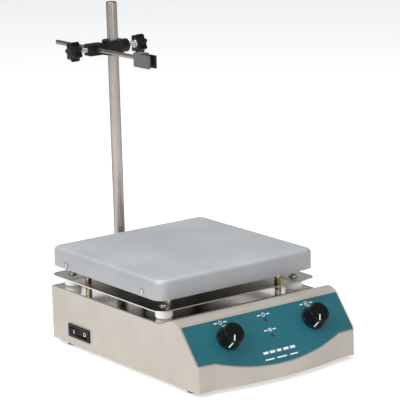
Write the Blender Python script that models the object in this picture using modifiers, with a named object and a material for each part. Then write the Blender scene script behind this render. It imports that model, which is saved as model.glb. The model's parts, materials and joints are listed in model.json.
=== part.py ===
"""Hotplate magnetic stirrer with a support rod, boss head and probe holder.

Lengths are in metres, +Z is up and the control panel faces -Y. Every piece hangs on one empty that
stands on the stirring axis at the housing's lower edge. The origin is on the bench, midway between
the frontmost and the rearmost point. Two pieces that touch on the real stirrer keep a gap of GAP.
"""
import math

import bmesh
import bpy
from mathutils import Matrix, Vector

MM = 0.001
GAP = 0.3 * MM
PAST = 5 * MM                      # how far a cutter runs past what it cuts
FAR = 200 * MM                     # outside every piece


def profile(*points):
    """(radius, height) points of a lathe shape, given in millimetres."""
    return [(radius * MM, height * MM) for radius, height in points]


# ---- driving dimensions: housing ----
FOOT_HEIGHT = 4 * MM
STIR_AXIS_Y = -7.5 * MM            # stirring axis, from the middle of the footprint
HOUSING_HALF = 85.5 * MM           # half width of the housing
HOUSING_BACK = 84.3 * MM
HOUSING_TOP = 48.9 * MM
HOUSING_WALL = 2 * MM
HUMP_START = -85.6 * MM            # where the top begins to rise towards the panel
HUMP_RISE = math.radians(24)
HUMP_RADIUS = 14 * MM
PANEL_SLOPE = math.radians(51)     # panel, from the horizontal
PANEL_Y = -115 * MM                # a point on the panel's plane, on the centre line
PANEL_Z = 49.5 * MM
FRONT_FLAT = -137.4 * MM           # the front's flat ends
FRONT_BOW = -145.8 * MM            # the front's middle
FRONT_CORNER = 3 * MM
BOW_RADIUS = 271 * MM
BOW_STEPS = 18
COVER_OPENING = 8.9 * MM           # how far down the opening for the cover is cut
WALL_FIT = 0.4 * MM
BASE_LOW = 0.6 * MM                # base plate, underside and top
BASE_HIGH = 2.1 * MM
VENTS = 7
VENT_PITCH = 9 * MM
VENT_WIDTH = 3 * MM
VENT_FRONT = 48 * MM
VENT_BACK = 72 * MM
FOOT_X = 74 * MM
FOOT_FRONT = -118 * MM
FOOT_BACK = 66 * MM
FOOT_PROFILE = profile((0, 0), (8, 0), (8, -1.2), (6.5, -4.3), (0, -4.3))

# ---- driving dimensions: work plate, reflector and cover ----
PLATE_HALF = 85 * MM
PLATE_BOTTOM = 68 * MM
PLATE_TOP = 85.8 * MM
PLATE_CORNER = 10 * MM
PLATE_EDGE = 4 * MM
PLATE_SKIRT = 4.3 * MM
PLATE_DECK = 5.3 * MM
PAN_FIT = 0.4 * MM
PAN_CORNER = 5.6 * MM
PAN_LIFT = 0.7 * MM
PAN_HEIGHT = 7 * MM
HEATER_BORE = 12 * MM
HEATER_RADIUS = 70 * MM
HEATER_LOW = 77 * MM
HEATER_HIGH = 80 * MM
LEAD_RADIUS = 2.5 * MM
LEAD_HOLE = 2.8 * MM
LEAD_LOW = 30 * MM
SIDE_SCREW_Y = 59 * MM
SIDE_SCREW_Z = 72 * MM
SIDE_SCREW_HOLE = 1.8 * MM
SIDE_SCREW_PROFILE = profile((0, 1.5), (1.7, 1.3), (2.8, 0.3), (2.8, 0), (1.5, 0), (1.5, -8), (0, -8))
SHEET = 1 * MM                     # stainless cover and reflector
COVER_FRONT = -79.7 * MM
COVER_FLANGE = 7 * MM
REFLECTOR_HALF = 85.9 * MM
REFLECTOR_CORNER = 9 * MM
REFLECTOR_Z = 58.7 * MM
SPACER_AT = 70.8 * MM
SPACER_RADIUS = 7.5 * MM
SPACER_EDGE = 1 * MM
SCREW_HEAD = profile((0, 2.2), (2.2, 1.9), (3.5, 0.8), (3.5, 0))
PILLAR_X = 60 * MM
PILLAR_Y = 62 * MM
PILLAR_RADIUS = 3 * MM
STUD_RADIUS = 2 * MM
STUD_HOLE = 2.3 * MM
STUD_LOW = 43 * MM
STUD_HIGH = 73 * MM

# ---- driving dimensions: panel ----
DIALS = {"speed": -44.5 * MM, "heat": 47.5 * MM}
DIAL_S = 16 * MM                   # down the slope from the panel's datum
DIAL_REST = math.radians(-150)     # pointer at rest, from straight up the panel
KNOB_RADIUS = 10.8 * MM
KNOB_TOP_RADIUS = 9.2 * MM
KNOB_HEIGHT = 13 * MM
KNOB_FOOT = 1.2 * MM               # clear of the film
KNOB_SKIRT = 1.6 * MM
KNOB_EDGE = 1.2 * MM
KNOB_BORE = 5.2 * MM
KNOB_HOLLOW = 4 * MM
KNOB_SOCKET = 11.4 * MM
GROOVE = 1 * MM
GROOVE_START = 3.5 * MM
GROOVE_DEPTH = 0.4 * MM
SHAFT_RADIUS = 3 * MM
SHAFT_PROFILE = profile((0, 11), (3, 11), (3, -12.4), (4.5, -12.4), (4.5, -13.6), (0, -13.6))
POT_NECK = 4 * MM
POT_PROFILE = profile((4, 3.4), (4, -2.4), (8.5, -2.4), (8.5, -12), (3.3, -12), (3.3, 3.4))
OVERLAY = 0.5 * MM
FILM_HALF = 83.6 * MM
FILM_TOP = 2.6 * MM                # above the datum
FILM_HEM = 1.3 * MM
FILM_INSET = 0.7 * MM
LED_RADIUS = 1.5 * MM
LED_S = (7.3 * MM, 22.2 * MM)
LED_PROFILE = profile((0, 1.3), (0.9, 1.1), (1.5, 0.4), (1.5, -2.4), (1.9, -2.4), (1.9, -4), (0, -4))

# ---- driving dimensions: switch and rear panel ----
SWITCH_Y = 40 * MM
SWITCH_Z = 13.5 * MM
SWITCH_SIZE = (34 * MM, 12 * MM)   # along Y, along Z
SWITCH_LAP = (1.5 * MM, 1.2 * MM)  # bezel over the wall, along Y and Z
SWITCH_DEPTH = 16 * MM
BEZEL = 1.5 * MM
WELL_RIM = (3.2 * MM, 2.6 * MM)
WELL_DEPTH = 9 * MM
ROCKER_TILT = math.radians(6)
ROCKER_PLAY = 0.9 * MM
ROCKER_CROWN = 3.4 * MM
ROCKER_DISH = 1.1 * MM
ROCKER_BACK = 1.5 * MM
ROCKER_CHAMFER = 0.5 * MM
ROCKER_PIVOT = 3 * MM
INLET_X = -48 * MM
INLET_Z = 24 * MM
INLET_FLANGE = (17 * MM, 13 * MM)  # half sizes, along X and Z
INLET_BODY = (13.6 * MM, 10.1 * MM)
INLET_SHEET = 2.5 * MM
INLET_DEPTH = 19 * MM
SOCKET_HALF = (12 * MM, 8 * MM)
SOCKET_BEVEL = (5 * MM, 5.5 * MM)
SOCKET_FLOOR = 1.2 * MM
BLADE_HALF = (1 * MM, 2 * MM)
BLADE_X = 7 * MM
BLADE_EARTH_Z = 3 * MM
BLADE_SHY = 2.3 * MM
FUSE_X = 44 * MM
FUSE_BARREL = 6 * MM
FUSE_HOLDER_PROFILE = profile(
    (0, -24.5), (5.3, -24.5), (5.3, 2.3), (8, 2.3), (8, 0.3), (6, 0.3), (6, -26), (0, -26))
FUSE_CAP_PROFILE = profile(
    (0, 6), (5.6, 6), (6.2, 5.4), (6.2, 2.6), (4.9, 2.6), (4.9, -20), (0, -20))
CAP_SLOT = (4.2 * MM, 0.6 * MM)
CAP_SLOT_FLOOR = 4.8 * MM

# ---- driving dimensions: drive ----
BRIDGE_LEGS = 46 * MM
BRIDGE_FOOT = 12 * MM
BRIDGE_SHEET = 1.5 * MM
BRIDGE_DECK = 35.5 * MM
BRIDGE_DEPTH = 50 * MM
MOTOR_RADIUS = 31 * MM
MOTOR_BOSS = 9 * MM
MOTOR_FLOOR = 6 * MM
MOTOR_EDGE = 2 * MM
SPINDLE_RADIUS = 3 * MM
CARRIER_PROFILE = profile((0, 40.6), (29, 40.6), (29, 37), (8, 37), (8, 36.4), (3, 36.4), (3, 4), (0, 4))
MAGNET_RADIUS = 7 * MM
MAGNET_AT = 20 * MM
MAGNET_LOW = 38.9 * MM
MAGNET_HIGH = 45.6 * MM
BOARD_HALF = 62 * MM
BOARD_BACK = -91.4 * MM
BOARD_SHEET = 1.6 * MM
BOARD_LOW = 6 * MM
BOARD_HIGH = 40 * MM
BOARD_PARTS_LOW = 12 * MM
BOARD_PARTS = [                    # across, half width, height, depth
    (-38 * MM, 9 * MM, 14 * MM, 11 * MM),
    (-12 * MM, 13 * MM, 18 * MM, 14 * MM),
    (20 * MM, 16 * MM, 12 * MM, 10 * MM),
    (47 * MM, 7 * MM, 20 * MM, 9 * MM),
]

# ---- driving dimensions: rod, boss head and holder ----
ROD_Y = 98 * MM
ROD_RADIUS = 4.9 * MM
ROD_TOP = 297 * MM
ROD_EDGE = 0.7 * MM
ROD_THREAD = 4 * MM
ROD_LOW = 5 * MM
NUT_RADIUS = 8.1 * MM
NUT_HEIGHT = 7 * MM
LUG_LOW = 14 * MM
LUG_HEIGHT = 20 * MM
LUG_PLATE = 40 * MM
LUG_SHEET = 3 * MM
LUG_LAP = 4 * MM
LUG_EDGE = 0.8 * MM
LUG_BARREL = 10 * MM
LUG_WEB = 16 * MM
BOSS_Z = 255.6 * MM
BOSS_HALF = 6.5 * MM               # half height round the rod
BOSS_ARM_HALF = 5.4 * MM           # half height round the arm
BOSS_LEFT = -28.5 * MM
BOSS_RIGHT = 15 * MM
BOSS_INNER = 12 * MM
BOSS_DEPTH = 11 * MM
BOSS_NECK = 9 * MM
BOSS_BARREL = 10 * MM
BOSS_NOSE = 6.2 * MM
BOSS_EDGE = 1.2 * MM
SCREW_THREAD = 2.2 * MM
ARM_SCREW_LENGTH = 18 * MM
ROD_SCREW_END = 28.5 * MM
ARM_STAR_X = -38 * MM
ROD_STAR_X = 24.5 * MM
STAR_LOBES = 7
STAR_CORE = 7 * MM
STAR_LOBE = 2.6 * MM
STAR_REACH = 6.6 * MM
STAR_HEIGHT = 9 * MM
STAR_EDGE = 0.5 * MM
STAR_SOCKET = 6 * MM
ARM_X = -20 * MM
ARM_Z = 255.5 * MM
ARM_RADIUS = 2 * MM
ARM_FRONT = 27 * MM
ARM_BACK = 161 * MM
HOLDER_FRONT = 8 * MM
BLOCK_BACK = 30.5 * MM
BLOCK_HALF = 4.5 * MM
BLOCK_LOW = -7.6 * MM
BLOCK_HIGH = 5.3 * MM
BLOCK_EDGE = 0.7 * MM
CHEEK_BACK = 18 * MM
CHEEK_INNER = -1.2 * MM             # fixed side of the probe slot, from the arm's axis
CHEEK_HIGH = 3.9 * MM
JAW_INNER = 3.2 * MM                # moving side of the probe slot
JAW_OUTER = 5.5 * MM
JAW_BACK = 17.5 * MM
PIN_Y = 15.5 * MM
PIN_Z = -1.8 * MM                   # from the arm's axis
PIN_RADIUS = 1.5 * MM
PIN_START = -3.3 * MM
PIN_END = 8.8 * MM

COLOURS = {                        # base colour, roughness, metallic
    "cream_paint": ((0.60, 0.56, 0.50), 0.45, 0.0),
    "teal_film": ((0.024, 0.15, 0.18), 0.35, 0.0),
    "cast_aluminium": ((0.42, 0.44, 0.46), 0.4, 0.8),
    "mirror_steel": ((0.62, 0.61, 0.59), 0.12, 1.0),
    "steel": ((0.55, 0.54, 0.52), 0.3, 1.0),
    "brass": ((0.70, 0.55, 0.30), 0.3, 1.0),
    "white_ceramic": ((0.85, 0.84, 0.82), 0.4, 0.0),
    "black_plastic": ((0.012, 0.012, 0.013), 0.25, 0.0),
    "black_paint": ((0.02, 0.02, 0.022), 0.45, 0.0),
    "rubber": ((0.02, 0.02, 0.02), 0.8, 0.0),
    "red_lens": ((0.25, 0.02, 0.02), 0.2, 0.0),
    "board_green": ((0.02, 0.13, 0.06), 0.5, 0.0),
    "zinc_plate": ((0.40, 0.41, 0.42), 0.4, 1.0),
    "magnet": ((0.12, 0.12, 0.13), 0.5, 1.0),
    "mica": ((0.50, 0.42, 0.30), 0.6, 0.0),
    "glass_sleeve": ((0.70, 0.68, 0.62), 0.8, 0.0),
    "grey_metal": ((0.13, 0.13, 0.12), 0.45, 0.8),
}

# ---- scene and materials ----
for old in list(bpy.data.objects):
    bpy.data.objects.remove(old, do_unlink=True)


def collection(name):
    made = bpy.data.collections.new(name)
    bpy.context.scene.collection.children.link(made)
    return made


PARTS = collection("magnetic_stirrer")
CUTTERS = collection("cutters")
ROOT = bpy.data.objects.new("stirring_axis", None)
ROOT.location = (0, STIR_AXIS_Y, FOOT_HEIGHT)
PARTS.objects.link(ROOT)


def material(name):
    """The Principled material of one finish, made once."""
    if name in bpy.data.materials:
        return bpy.data.materials[name]
    colour, rough, metal = COLOURS[name]
    made = bpy.data.materials.new(name)
    made.use_nodes = True
    shader = made.node_tree.nodes["Principled BSDF"]
    shader.inputs["Base Color"].default_value = (*colour, 1)
    shader.inputs["Roughness"].default_value = rough
    shader.inputs["Metallic"].default_value = metal
    return made


# ---- building blocks ----
def finish(name, mesh, look, at=(0, 0, 0), turn=None, parent=ROOT):
    """Link a mesh as a part, or as a cutter when it has no look."""
    thing = bpy.data.objects.new(name, mesh)
    thing.parent = parent
    thing.location = at
    if turn is not None:
        thing.rotation_euler = turn.to_euler()
    if look is None:
        thing.hide_render = True
        thing.display_type = "WIRE"
        CUTTERS.objects.link(thing)
        return thing
    mesh.materials.append(material(look))
    mesh.shade_smooth()
    mesh.set_sharp_from_angle(angle=math.radians(35))
    PARTS.objects.link(thing)
    return thing


def from_bmesh(name, bm, look, **place):
    mesh = bpy.data.meshes.new(name)
    bm.to_mesh(mesh)
    bm.free()
    return finish(name, mesh, look, **place)


def add_box(bm, low, high):
    """A box between two corners."""
    low = Vector(low)
    high = Vector(high)
    size = Matrix.Diagonal((*(high - low), 1))
    bmesh.ops.create_cube(bm, size=1, matrix=Matrix.Translation((low + high) / 2) @ size)


def add_cylinder(bm, radius, low, high, centre=(0, 0), axis="Z", sides=16, top_radius=None):
    """A cylinder or cone along an axis from low to high; centre is on the two other axes."""
    turns = {
        "Z": Matrix.Identity(4),
        "X": Matrix.Rotation(math.radians(90), 4, "Y"),
        "Y": Matrix.Rotation(math.radians(-90), 4, "X"),
    }
    middle = (low + high) / 2
    spots = {
        "Z": (centre[0], centre[1], middle),
        "X": (middle, centre[0], centre[1]),
        "Y": (centre[0], middle, centre[1]),
    }
    bmesh.ops.create_cone(
        bm, cap_ends=True, segments=sides, radius1=radius,
        radius2=radius if top_radius is None else top_radius,
        depth=high - low, matrix=Matrix.Translation(spots[axis]) @ turns[axis],
    )


def box(name, low, high, look, **place):
    bm = bmesh.new()
    add_box(bm, low, high)
    return from_bmesh(name, bm, look, **place)


def cylinder(name, radius, low, high, look, centre=(0, 0), axis="Z", sides=16, **place):
    bm = bmesh.new()
    add_cylinder(bm, radius, low, high, centre, axis, sides)
    return from_bmesh(name, bm, look, **place)


def turned(name, profile, look, steps=20, loop=False, **place):
    """A lathe shape about Z from (radius, height) points that run down the outer side."""
    mesh = bpy.data.meshes.new(name)
    last = len(profile)
    edges = [(i, (i + 1) % last) for i in range(last if loop else last - 1)]
    mesh.from_pydata([(r, 0, z) for r, z in profile], edges, [])
    thing = finish(name, mesh, look, **place)
    screw = thing.modifiers.new("turn", "SCREW")
    screw.axis = "Z"
    screw.angle = math.tau
    screw.steps = steps
    screw.render_steps = steps
    screw.use_merge_vertices = True
    screw.merge_threshold = 0.00001
    screw.use_smooth_shade = True
    return thing


def rounded(corners, steps=5):
    """A closed outline from (x, y, radius) corners, each rounded by an arc of its radius."""
    path = []
    count = len(corners)
    for i, (x, y, radius) in enumerate(corners):
        here = Vector((x, y))
        if radius == 0:
            path.append(here)
            continue
        before = (Vector(corners[i - 1][:2]) - here).normalized()
        after = (Vector(corners[(i + 1) % count][:2]) - here).normalized()
        half = before.angle(after) / 2
        centre = here + (before + after).normalized() * radius / math.sin(half)
        start = here + before * radius / math.tan(half) - centre
        end = here + after * radius / math.tan(half) - centre
        for k in range(steps + 1):
            spoke = start.lerp(end, k / steps)
            path.append(centre + spoke.normalized() * radius)
    return path


def square(half_x, half_y, radius):
    """Corners of a rounded rectangle about the origin."""
    return [(half_x, half_y, radius), (-half_x, half_y, radius),
            (-half_x, -half_y, radius), (half_x, -half_y, radius)]


def slab(name, outline, low, high, look, frame=None, **place):
    """A flat outline made solid between two heights, then set in a frame such as the YZ plane."""
    curve = bpy.data.curves.new(name, "CURVE")
    curve.dimensions = "2D"
    curve.fill_mode = "BOTH"
    curve.extrude = (high - low) / 2
    spline = curve.splines.new("POLY")
    spline.points.add(len(outline) - 1)
    for point, spot in zip(spline.points, outline):
        point.co = (spot[0], spot[1], 0, 1)
    spline.use_cyclic_u = True
    guide = bpy.data.objects.new(name, curve)
    bpy.context.scene.collection.objects.link(guide)
    evaluated = guide.evaluated_get(bpy.context.evaluated_depsgraph_get())
    mesh = bpy.data.meshes.new_from_object(evaluated)
    bpy.data.objects.remove(guide, do_unlink=True)
    bm = bmesh.new()
    bm.from_mesh(mesh)
    bmesh.ops.remove_doubles(bm, verts=bm.verts, dist=0.000001)
    bmesh.ops.transform(bm, matrix=Matrix.Translation((0, 0, (low + high) / 2)), verts=bm.verts)
    if frame is not None:
        bmesh.ops.transform(bm, matrix=frame, verts=bm.verts)
    bmesh.ops.recalc_face_normals(bm, faces=bm.faces)
    bm.to_mesh(mesh)
    bm.free()
    mesh.materials.clear()
    return finish(name, mesh, look, **place)


def combine(thing, other, operation):
    """Cut, join or intersect a part with a second shape."""
    step = thing.modifiers.new(operation.lower(), "BOOLEAN")
    step.operation = operation
    step.object = other
    step.solver = "EXACT"


def cut(thing, cutter):
    combine(thing, cutter, "DIFFERENCE")


def join(thing, other):
    combine(thing, other, "UNION")


def soften(thing, width, segments=2, angle=40):
    bevel = thing.modifiers.new("rounded edges", "BEVEL")
    bevel.width = width
    bevel.segments = segments
    bevel.limit_method = "ANGLE"
    bevel.angle_limit = math.radians(angle)


def corners_of(x, y):
    """The four corners (+-x, +-y), from the front left one, anticlockwise."""
    return [(-x, -y), (x, -y), (x, y), (-x, y)]


YZ = Matrix(((0, 0, 1, 0), (1, 0, 0, 0), (0, 1, 0, 0), (0, 0, 0, 1)))     # outline (y, z) along X
YX = Matrix(((0, 1, 0, 0), (1, 0, 0, 0), (0, 0, 1, 0), (0, 0, 0, 1)))     # outline (y, x) along Z
XZ = Matrix(((1, 0, 0, 0), (0, 0, -1, 0), (0, 1, 0, 0), (0, 0, 0, 1)))    # outline (x, z) along -Y
SLOPE_TURN = Matrix.Rotation(PANEL_SLOPE, 3, "X")


def on_panel(x, down, out=0.0):
    """A point on the panel: across, down the slope, and out along its normal."""
    return Vector((
        x,
        PANEL_Y - down * math.cos(PANEL_SLOPE) - out * math.sin(PANEL_SLOPE),
        PANEL_Z - down * math.sin(PANEL_SLOPE) + out * math.cos(PANEL_SLOPE),
    ))


# ---- housing ----
def front_line(x, inset=0.0):
    """The front's y in plan: a shallow bow between two flat ends."""
    bow_centre = FRONT_BOW + BOW_RADIUS
    bow = bow_centre - math.sqrt((BOW_RADIUS - inset) ** 2 - x ** 2)
    return min(FRONT_FLAT + inset, bow)


def bow_half(inset=0.0):
    """Half the width of the bow, from one crease to the centre line."""
    rise = FRONT_BOW + BOW_RADIUS - FRONT_FLAT - inset
    return math.sqrt((BOW_RADIUS - inset) ** 2 - rise ** 2)


def across(reach, steps):
    """Even positions from -reach to reach."""
    return [-reach + 2 * reach * k / steps for k in range(steps + 1)]


def housing_form(name, inset, low, look):
    """The housing's outer form: its side profile extruded along X, met with its plan outline."""
    rise = math.tan(HUMP_RISE)
    fall = math.tan(PANEL_SLOPE)
    flat_z = HOUSING_TOP - inset
    rise_drop = inset / math.cos(HUMP_RISE)
    fall_drop = inset / math.cos(PANEL_SLOPE)
    knee_y = HUMP_START + (inset - rise_drop) / rise
    crest_y = HOUSING_TOP - rise_drop + rise * HUMP_START - PANEL_Z + fall_drop + fall * PANEL_Y
    crest_y /= rise + fall
    crest_z = PANEL_Z - fall_drop + fall * (crest_y - PANEL_Y)
    toe_y = FRONT_BOW - FRONT_CORNER
    toe_z = PANEL_Z - fall_drop + fall * (toe_y - PANEL_Y)
    side = rounded([
        (HOUSING_BACK - inset, low, 0),
        (HOUSING_BACK - inset, flat_z, 0),
        (knee_y, flat_z, 0),
        (crest_y, crest_z, HUMP_RADIUS - inset),
        (toe_y, toe_z, 0),
        (toe_y, low, 0),
    ], steps=8)
    half = HOUSING_HALF - inset
    bow = [(x, front_line(x, inset), 0) for x in across(bow_half(inset), BOW_STEPS)]
    plan = rounded([
        (half, HOUSING_BACK + PAST, 0),
        (-half, HOUSING_BACK + PAST, 0),
        (-half, FRONT_FLAT + inset, FRONT_CORNER - inset),
        *bow,
        (half, FRONT_FLAT + inset, FRONT_CORNER - inset),
    ], steps=3)
    form = slab(name, [(y, z) for y, z in side], -half - MM, half + MM, look, frame=YZ)
    trim = slab(name + "_plan", plan, low - MM, HOUSING_TOP + 4 * PAST, None)
    combine(form, trim, "INTERSECT")
    return form


def housing():
    """Moulded housing with its openings, the base plate that closes it, and four feet."""
    shell = housing_form("housing_shell", 0, 0, "cream_paint")
    cut(shell, housing_form("housing_hollow", HOUSING_WALL, -2 * HOUSING_WALL, None))
    inner = HOUSING_HALF - HOUSING_WALL
    back = HOUSING_BACK - HOUSING_WALL
    bm = bmesh.new()
    add_box(bm, (-inner, COVER_FRONT + GAP, HOUSING_TOP - COVER_OPENING), (inner, back, HOUSING_TOP + PAST))
    cut(shell, from_bmesh("cover_opening", bm, None))
    bm = bmesh.new()
    half_y = SWITCH_SIZE[0] / 2 - SWITCH_LAP[0]
    half_z = SWITCH_SIZE[1] / 2 - SWITCH_LAP[1]
    add_box(bm, (-HOUSING_HALF - PAST, SWITCH_Y - half_y, SWITCH_Z - half_z),
            (-HOUSING_HALF + PAST, SWITCH_Y + half_y, SWITCH_Z + half_z))
    half_x = INLET_BODY[0] + WALL_FIT
    half_z = INLET_BODY[1] + WALL_FIT
    add_box(bm, (INLET_X - half_x, back - PAST, INLET_Z - half_z),
            (INLET_X + half_x, HOUSING_BACK + PAST, INLET_Z + half_z))
    add_cylinder(bm, FUSE_BARREL + GAP, back - PAST, HOUSING_BACK + PAST, (FUSE_X, INLET_Z), "Y")
    cut(shell, from_bmesh("wall_openings", bm, None))
    cut(shell, panel_holes("panel_holes", POT_NECK + 0.2 * MM))

    bottom = housing_form("base_plate", HOUSING_WALL + GAP, BASE_LOW, "zinc_plate")
    bm = bmesh.new()
    add_box(bm, (-FAR, -FAR, BASE_HIGH), (FAR, FAR, FAR))
    cut(bottom, from_bmesh("base_plate_trim", bm, None))
    bm = bmesh.new()
    for k in range(VENTS):
        x = (k - (VENTS - 1) / 2) * VENT_PITCH
        add_box(bm, (x - VENT_WIDTH / 2, VENT_FRONT, -PAST), (x + VENT_WIDTH / 2, VENT_BACK, PAST))
    cut(bottom, from_bmesh("base_vents", bm, None))

    for i, (x, y) in enumerate(corners_of(FOOT_X, 1)):
        turned(f"foot_{i + 1}", FOOT_PROFILE, "rubber", steps=16,
               at=(x, FOOT_FRONT if y < 0 else FOOT_BACK, GAP))


def top_cover():
    """Stainless cover let into the housing's top, with a turned-down flange all round."""
    half = HOUSING_HALF - HOUSING_WALL - GAP
    back = HOUSING_BACK - HOUSING_WALL - GAP
    front = COVER_FRONT + 2 * GAP
    top = HOUSING_TOP
    cover = box("top_cover", (-half, front, top - COVER_FLANGE), (half, back, top), "mirror_steel")
    bm = bmesh.new()
    add_box(bm, (-half + SHEET, front + SHEET, top - COVER_FLANGE - PAST),
            (half - SHEET, back - SHEET, top - SHEET))
    cut(cover, from_bmesh("cover_hollow", bm, None))
    bm = bmesh.new()
    for x, y in corners_of(SPACER_AT, SPACER_AT) + corners_of(PILLAR_X, PILLAR_Y):
        add_cylinder(bm, STUD_HOLE, top - PAST, top + PAST, (x, y), sides=10)
    add_cylinder(bm, LEAD_HOLE, top - PAST, top + PAST, (0, PILLAR_Y), sides=10)
    cut(cover, from_bmesh("cover_holes", bm, None))


def panel_holes(name, dial_radius):
    """Cutter for the two dials and the two lamps, square to the panel."""
    bm = bmesh.new()
    for x in DIALS.values():
        add_cylinder(bm, dial_radius, -PAST, PAST, (x, -DIAL_S))
    for down in LED_S:
        add_cylinder(bm, LED_RADIUS + GAP, -PAST, PAST, (0, -down), sides=10)
    return from_bmesh(name, bm, None, at=on_panel(0, 0), turn=SLOPE_TURN)


def panel():
    """Printed film on the sloping panel, its lower edge following the bowed front."""
    flat_down = (PANEL_Y - FRONT_FLAT - FILM_HEM) / math.cos(PANEL_SLOPE)
    reach = bow_half(FILM_INSET)
    outline = [(FILM_HALF, FILM_TOP), (-FILM_HALF, FILM_TOP), (-FILM_HALF, -flat_down)]
    for x in across(reach, BOW_STEPS):
        down = (PANEL_Y - front_line(x, FILM_INSET)) / math.cos(PANEL_SLOPE)
        outline.append((x, -max(down - GAP, flat_down)))
    outline.append((FILM_HALF, -flat_down))
    film = slab("panel_overlay", outline, GAP, GAP + OVERLAY, "teal_film",
                at=on_panel(0, 0), turn=SLOPE_TURN)
    cut(film, panel_holes("film_holes", POT_NECK + 0.4 * MM))
    for name, down in zip(("power_led", "heat_led"), LED_S):
        turned(name, LED_PROFILE, "red_lens", at=on_panel(0, down), turn=SLOPE_TURN, steps=12)


def dial(word, x):
    """Potentiometer behind the panel, its shaft, and the knob on it; +Z is the panel's normal."""
    spot = on_panel(x, DIAL_S)
    rest = SLOPE_TURN @ Matrix.Rotation(-DIAL_REST, 3, "Z")
    turned(f"{word}_pot", POT_PROFILE, "zinc_plate", loop=True, at=spot, turn=SLOPE_TURN)
    turned(f"{word}_shaft", SHAFT_PROFILE, "steel", at=spot, turn=SLOPE_TURN, steps=16)
    top = KNOB_FOOT + KNOB_HEIGHT
    skirt_top = KNOB_FOOT + KNOB_SKIRT
    roof = KNOB_FOOT + KNOB_HOLLOW
    hole = SHAFT_RADIUS + GAP
    knob = turned(f"{word}_knob", [
        (0, top), (KNOB_TOP_RADIUS - KNOB_EDGE, top), (KNOB_TOP_RADIUS, top - KNOB_EDGE),
        (KNOB_RADIUS - KNOB_EDGE / 2, skirt_top + KNOB_EDGE / 2), (KNOB_RADIUS, skirt_top),
        (KNOB_RADIUS, KNOB_FOOT), (KNOB_BORE, KNOB_FOOT), (KNOB_BORE, roof), (hole, roof),
        (hole, KNOB_SOCKET), (0, KNOB_SOCKET),
    ], "black_plastic", at=spot, turn=rest, steps=28)
    bm = bmesh.new()
    add_box(bm, (-GROOVE / 2, GROOVE_START, top - GROOVE_DEPTH), (GROOVE / 2, KNOB_RADIUS, top + PAST))
    cut(knob, from_bmesh(f"{word}_pointer_groove", bm, None, at=spot, turn=rest))


# ---- drive ----
def drive():
    """Motor hung under a bridge, with a two-pole magnet rotor under the cover."""
    low = BASE_HIGH + GAP
    foot = low + BRIDGE_SHEET
    inside = BRIDGE_DECK - BRIDGE_SHEET
    outer = BRIDGE_LEGS + BRIDGE_FOOT
    leg = BRIDGE_LEGS - BRIDGE_SHEET
    outline = [
        (-outer, low), (-leg, low), (-leg, inside), (leg, inside), (leg, low), (outer, low),
        (outer, foot), (BRIDGE_LEGS, foot), (BRIDGE_LEGS, BRIDGE_DECK), (-BRIDGE_LEGS, BRIDGE_DECK),
        (-BRIDGE_LEGS, foot), (-outer, foot),
    ]
    bridge = slab("motor_bracket", outline, -BRIDGE_DEPTH / 2, BRIDGE_DEPTH / 2, "zinc_plate", frame=XZ)
    cut(bridge, cylinder("motor_boss_hole", MOTOR_BOSS + 0.4 * MM, inside - PAST, BRIDGE_DECK + PAST,
                         None, sides=20))
    bore = SPINDLE_RADIUS + 0.4 * MM
    roof = inside - GAP
    boss_top = BRIDGE_DECK + 0.4 * MM
    turned("motor", [
        (bore, boss_top), (MOTOR_BOSS, boss_top), (MOTOR_BOSS, roof), (MOTOR_RADIUS, roof),
        (MOTOR_RADIUS, MOTOR_FLOOR + MOTOR_EDGE), (MOTOR_RADIUS - MOTOR_EDGE, MOTOR_FLOOR),
        (bore, MOTOR_FLOOR),
    ], "zinc_plate", loop=True, steps=28)
    carrier = turned("magnet_carrier", CARRIER_PROFILE, "cast_aluminium", steps=28)
    bm = bmesh.new()
    for x in (-MAGNET_AT, MAGNET_AT):
        add_cylinder(bm, MAGNET_RADIUS + GAP, MAGNET_LOW - GAP, MAGNET_HIGH + PAST, (x, 0), sides=20)
    cut(carrier, from_bmesh("magnet_pockets", bm, None))
    for i, x in enumerate((-MAGNET_AT, MAGNET_AT)):
        cylinder(f"magnet_{i + 1}", MAGNET_RADIUS, MAGNET_LOW, MAGNET_HIGH, "magnet",
                 centre=(x, 0), sides=20)


def circuit_board():
    """Control board upright behind the front, between the dials' pots and the motor bridge."""
    front = BOARD_BACK - BOARD_SHEET
    board = box("circuit_board", (-BOARD_HALF, front, BOARD_LOW), (BOARD_HALF, BOARD_BACK, BOARD_HIGH),
                "board_green")
    bm = bmesh.new()
    root = BOARD_BACK - BOARD_SHEET / 2
    for x, half, tall, deep in BOARD_PARTS:
        add_box(bm, (x - half, root, BOARD_PARTS_LOW), (x + half, root + deep, BOARD_PARTS_LOW + tall))
    join(board, from_bmesh("board_parts", bm, None))


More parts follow.
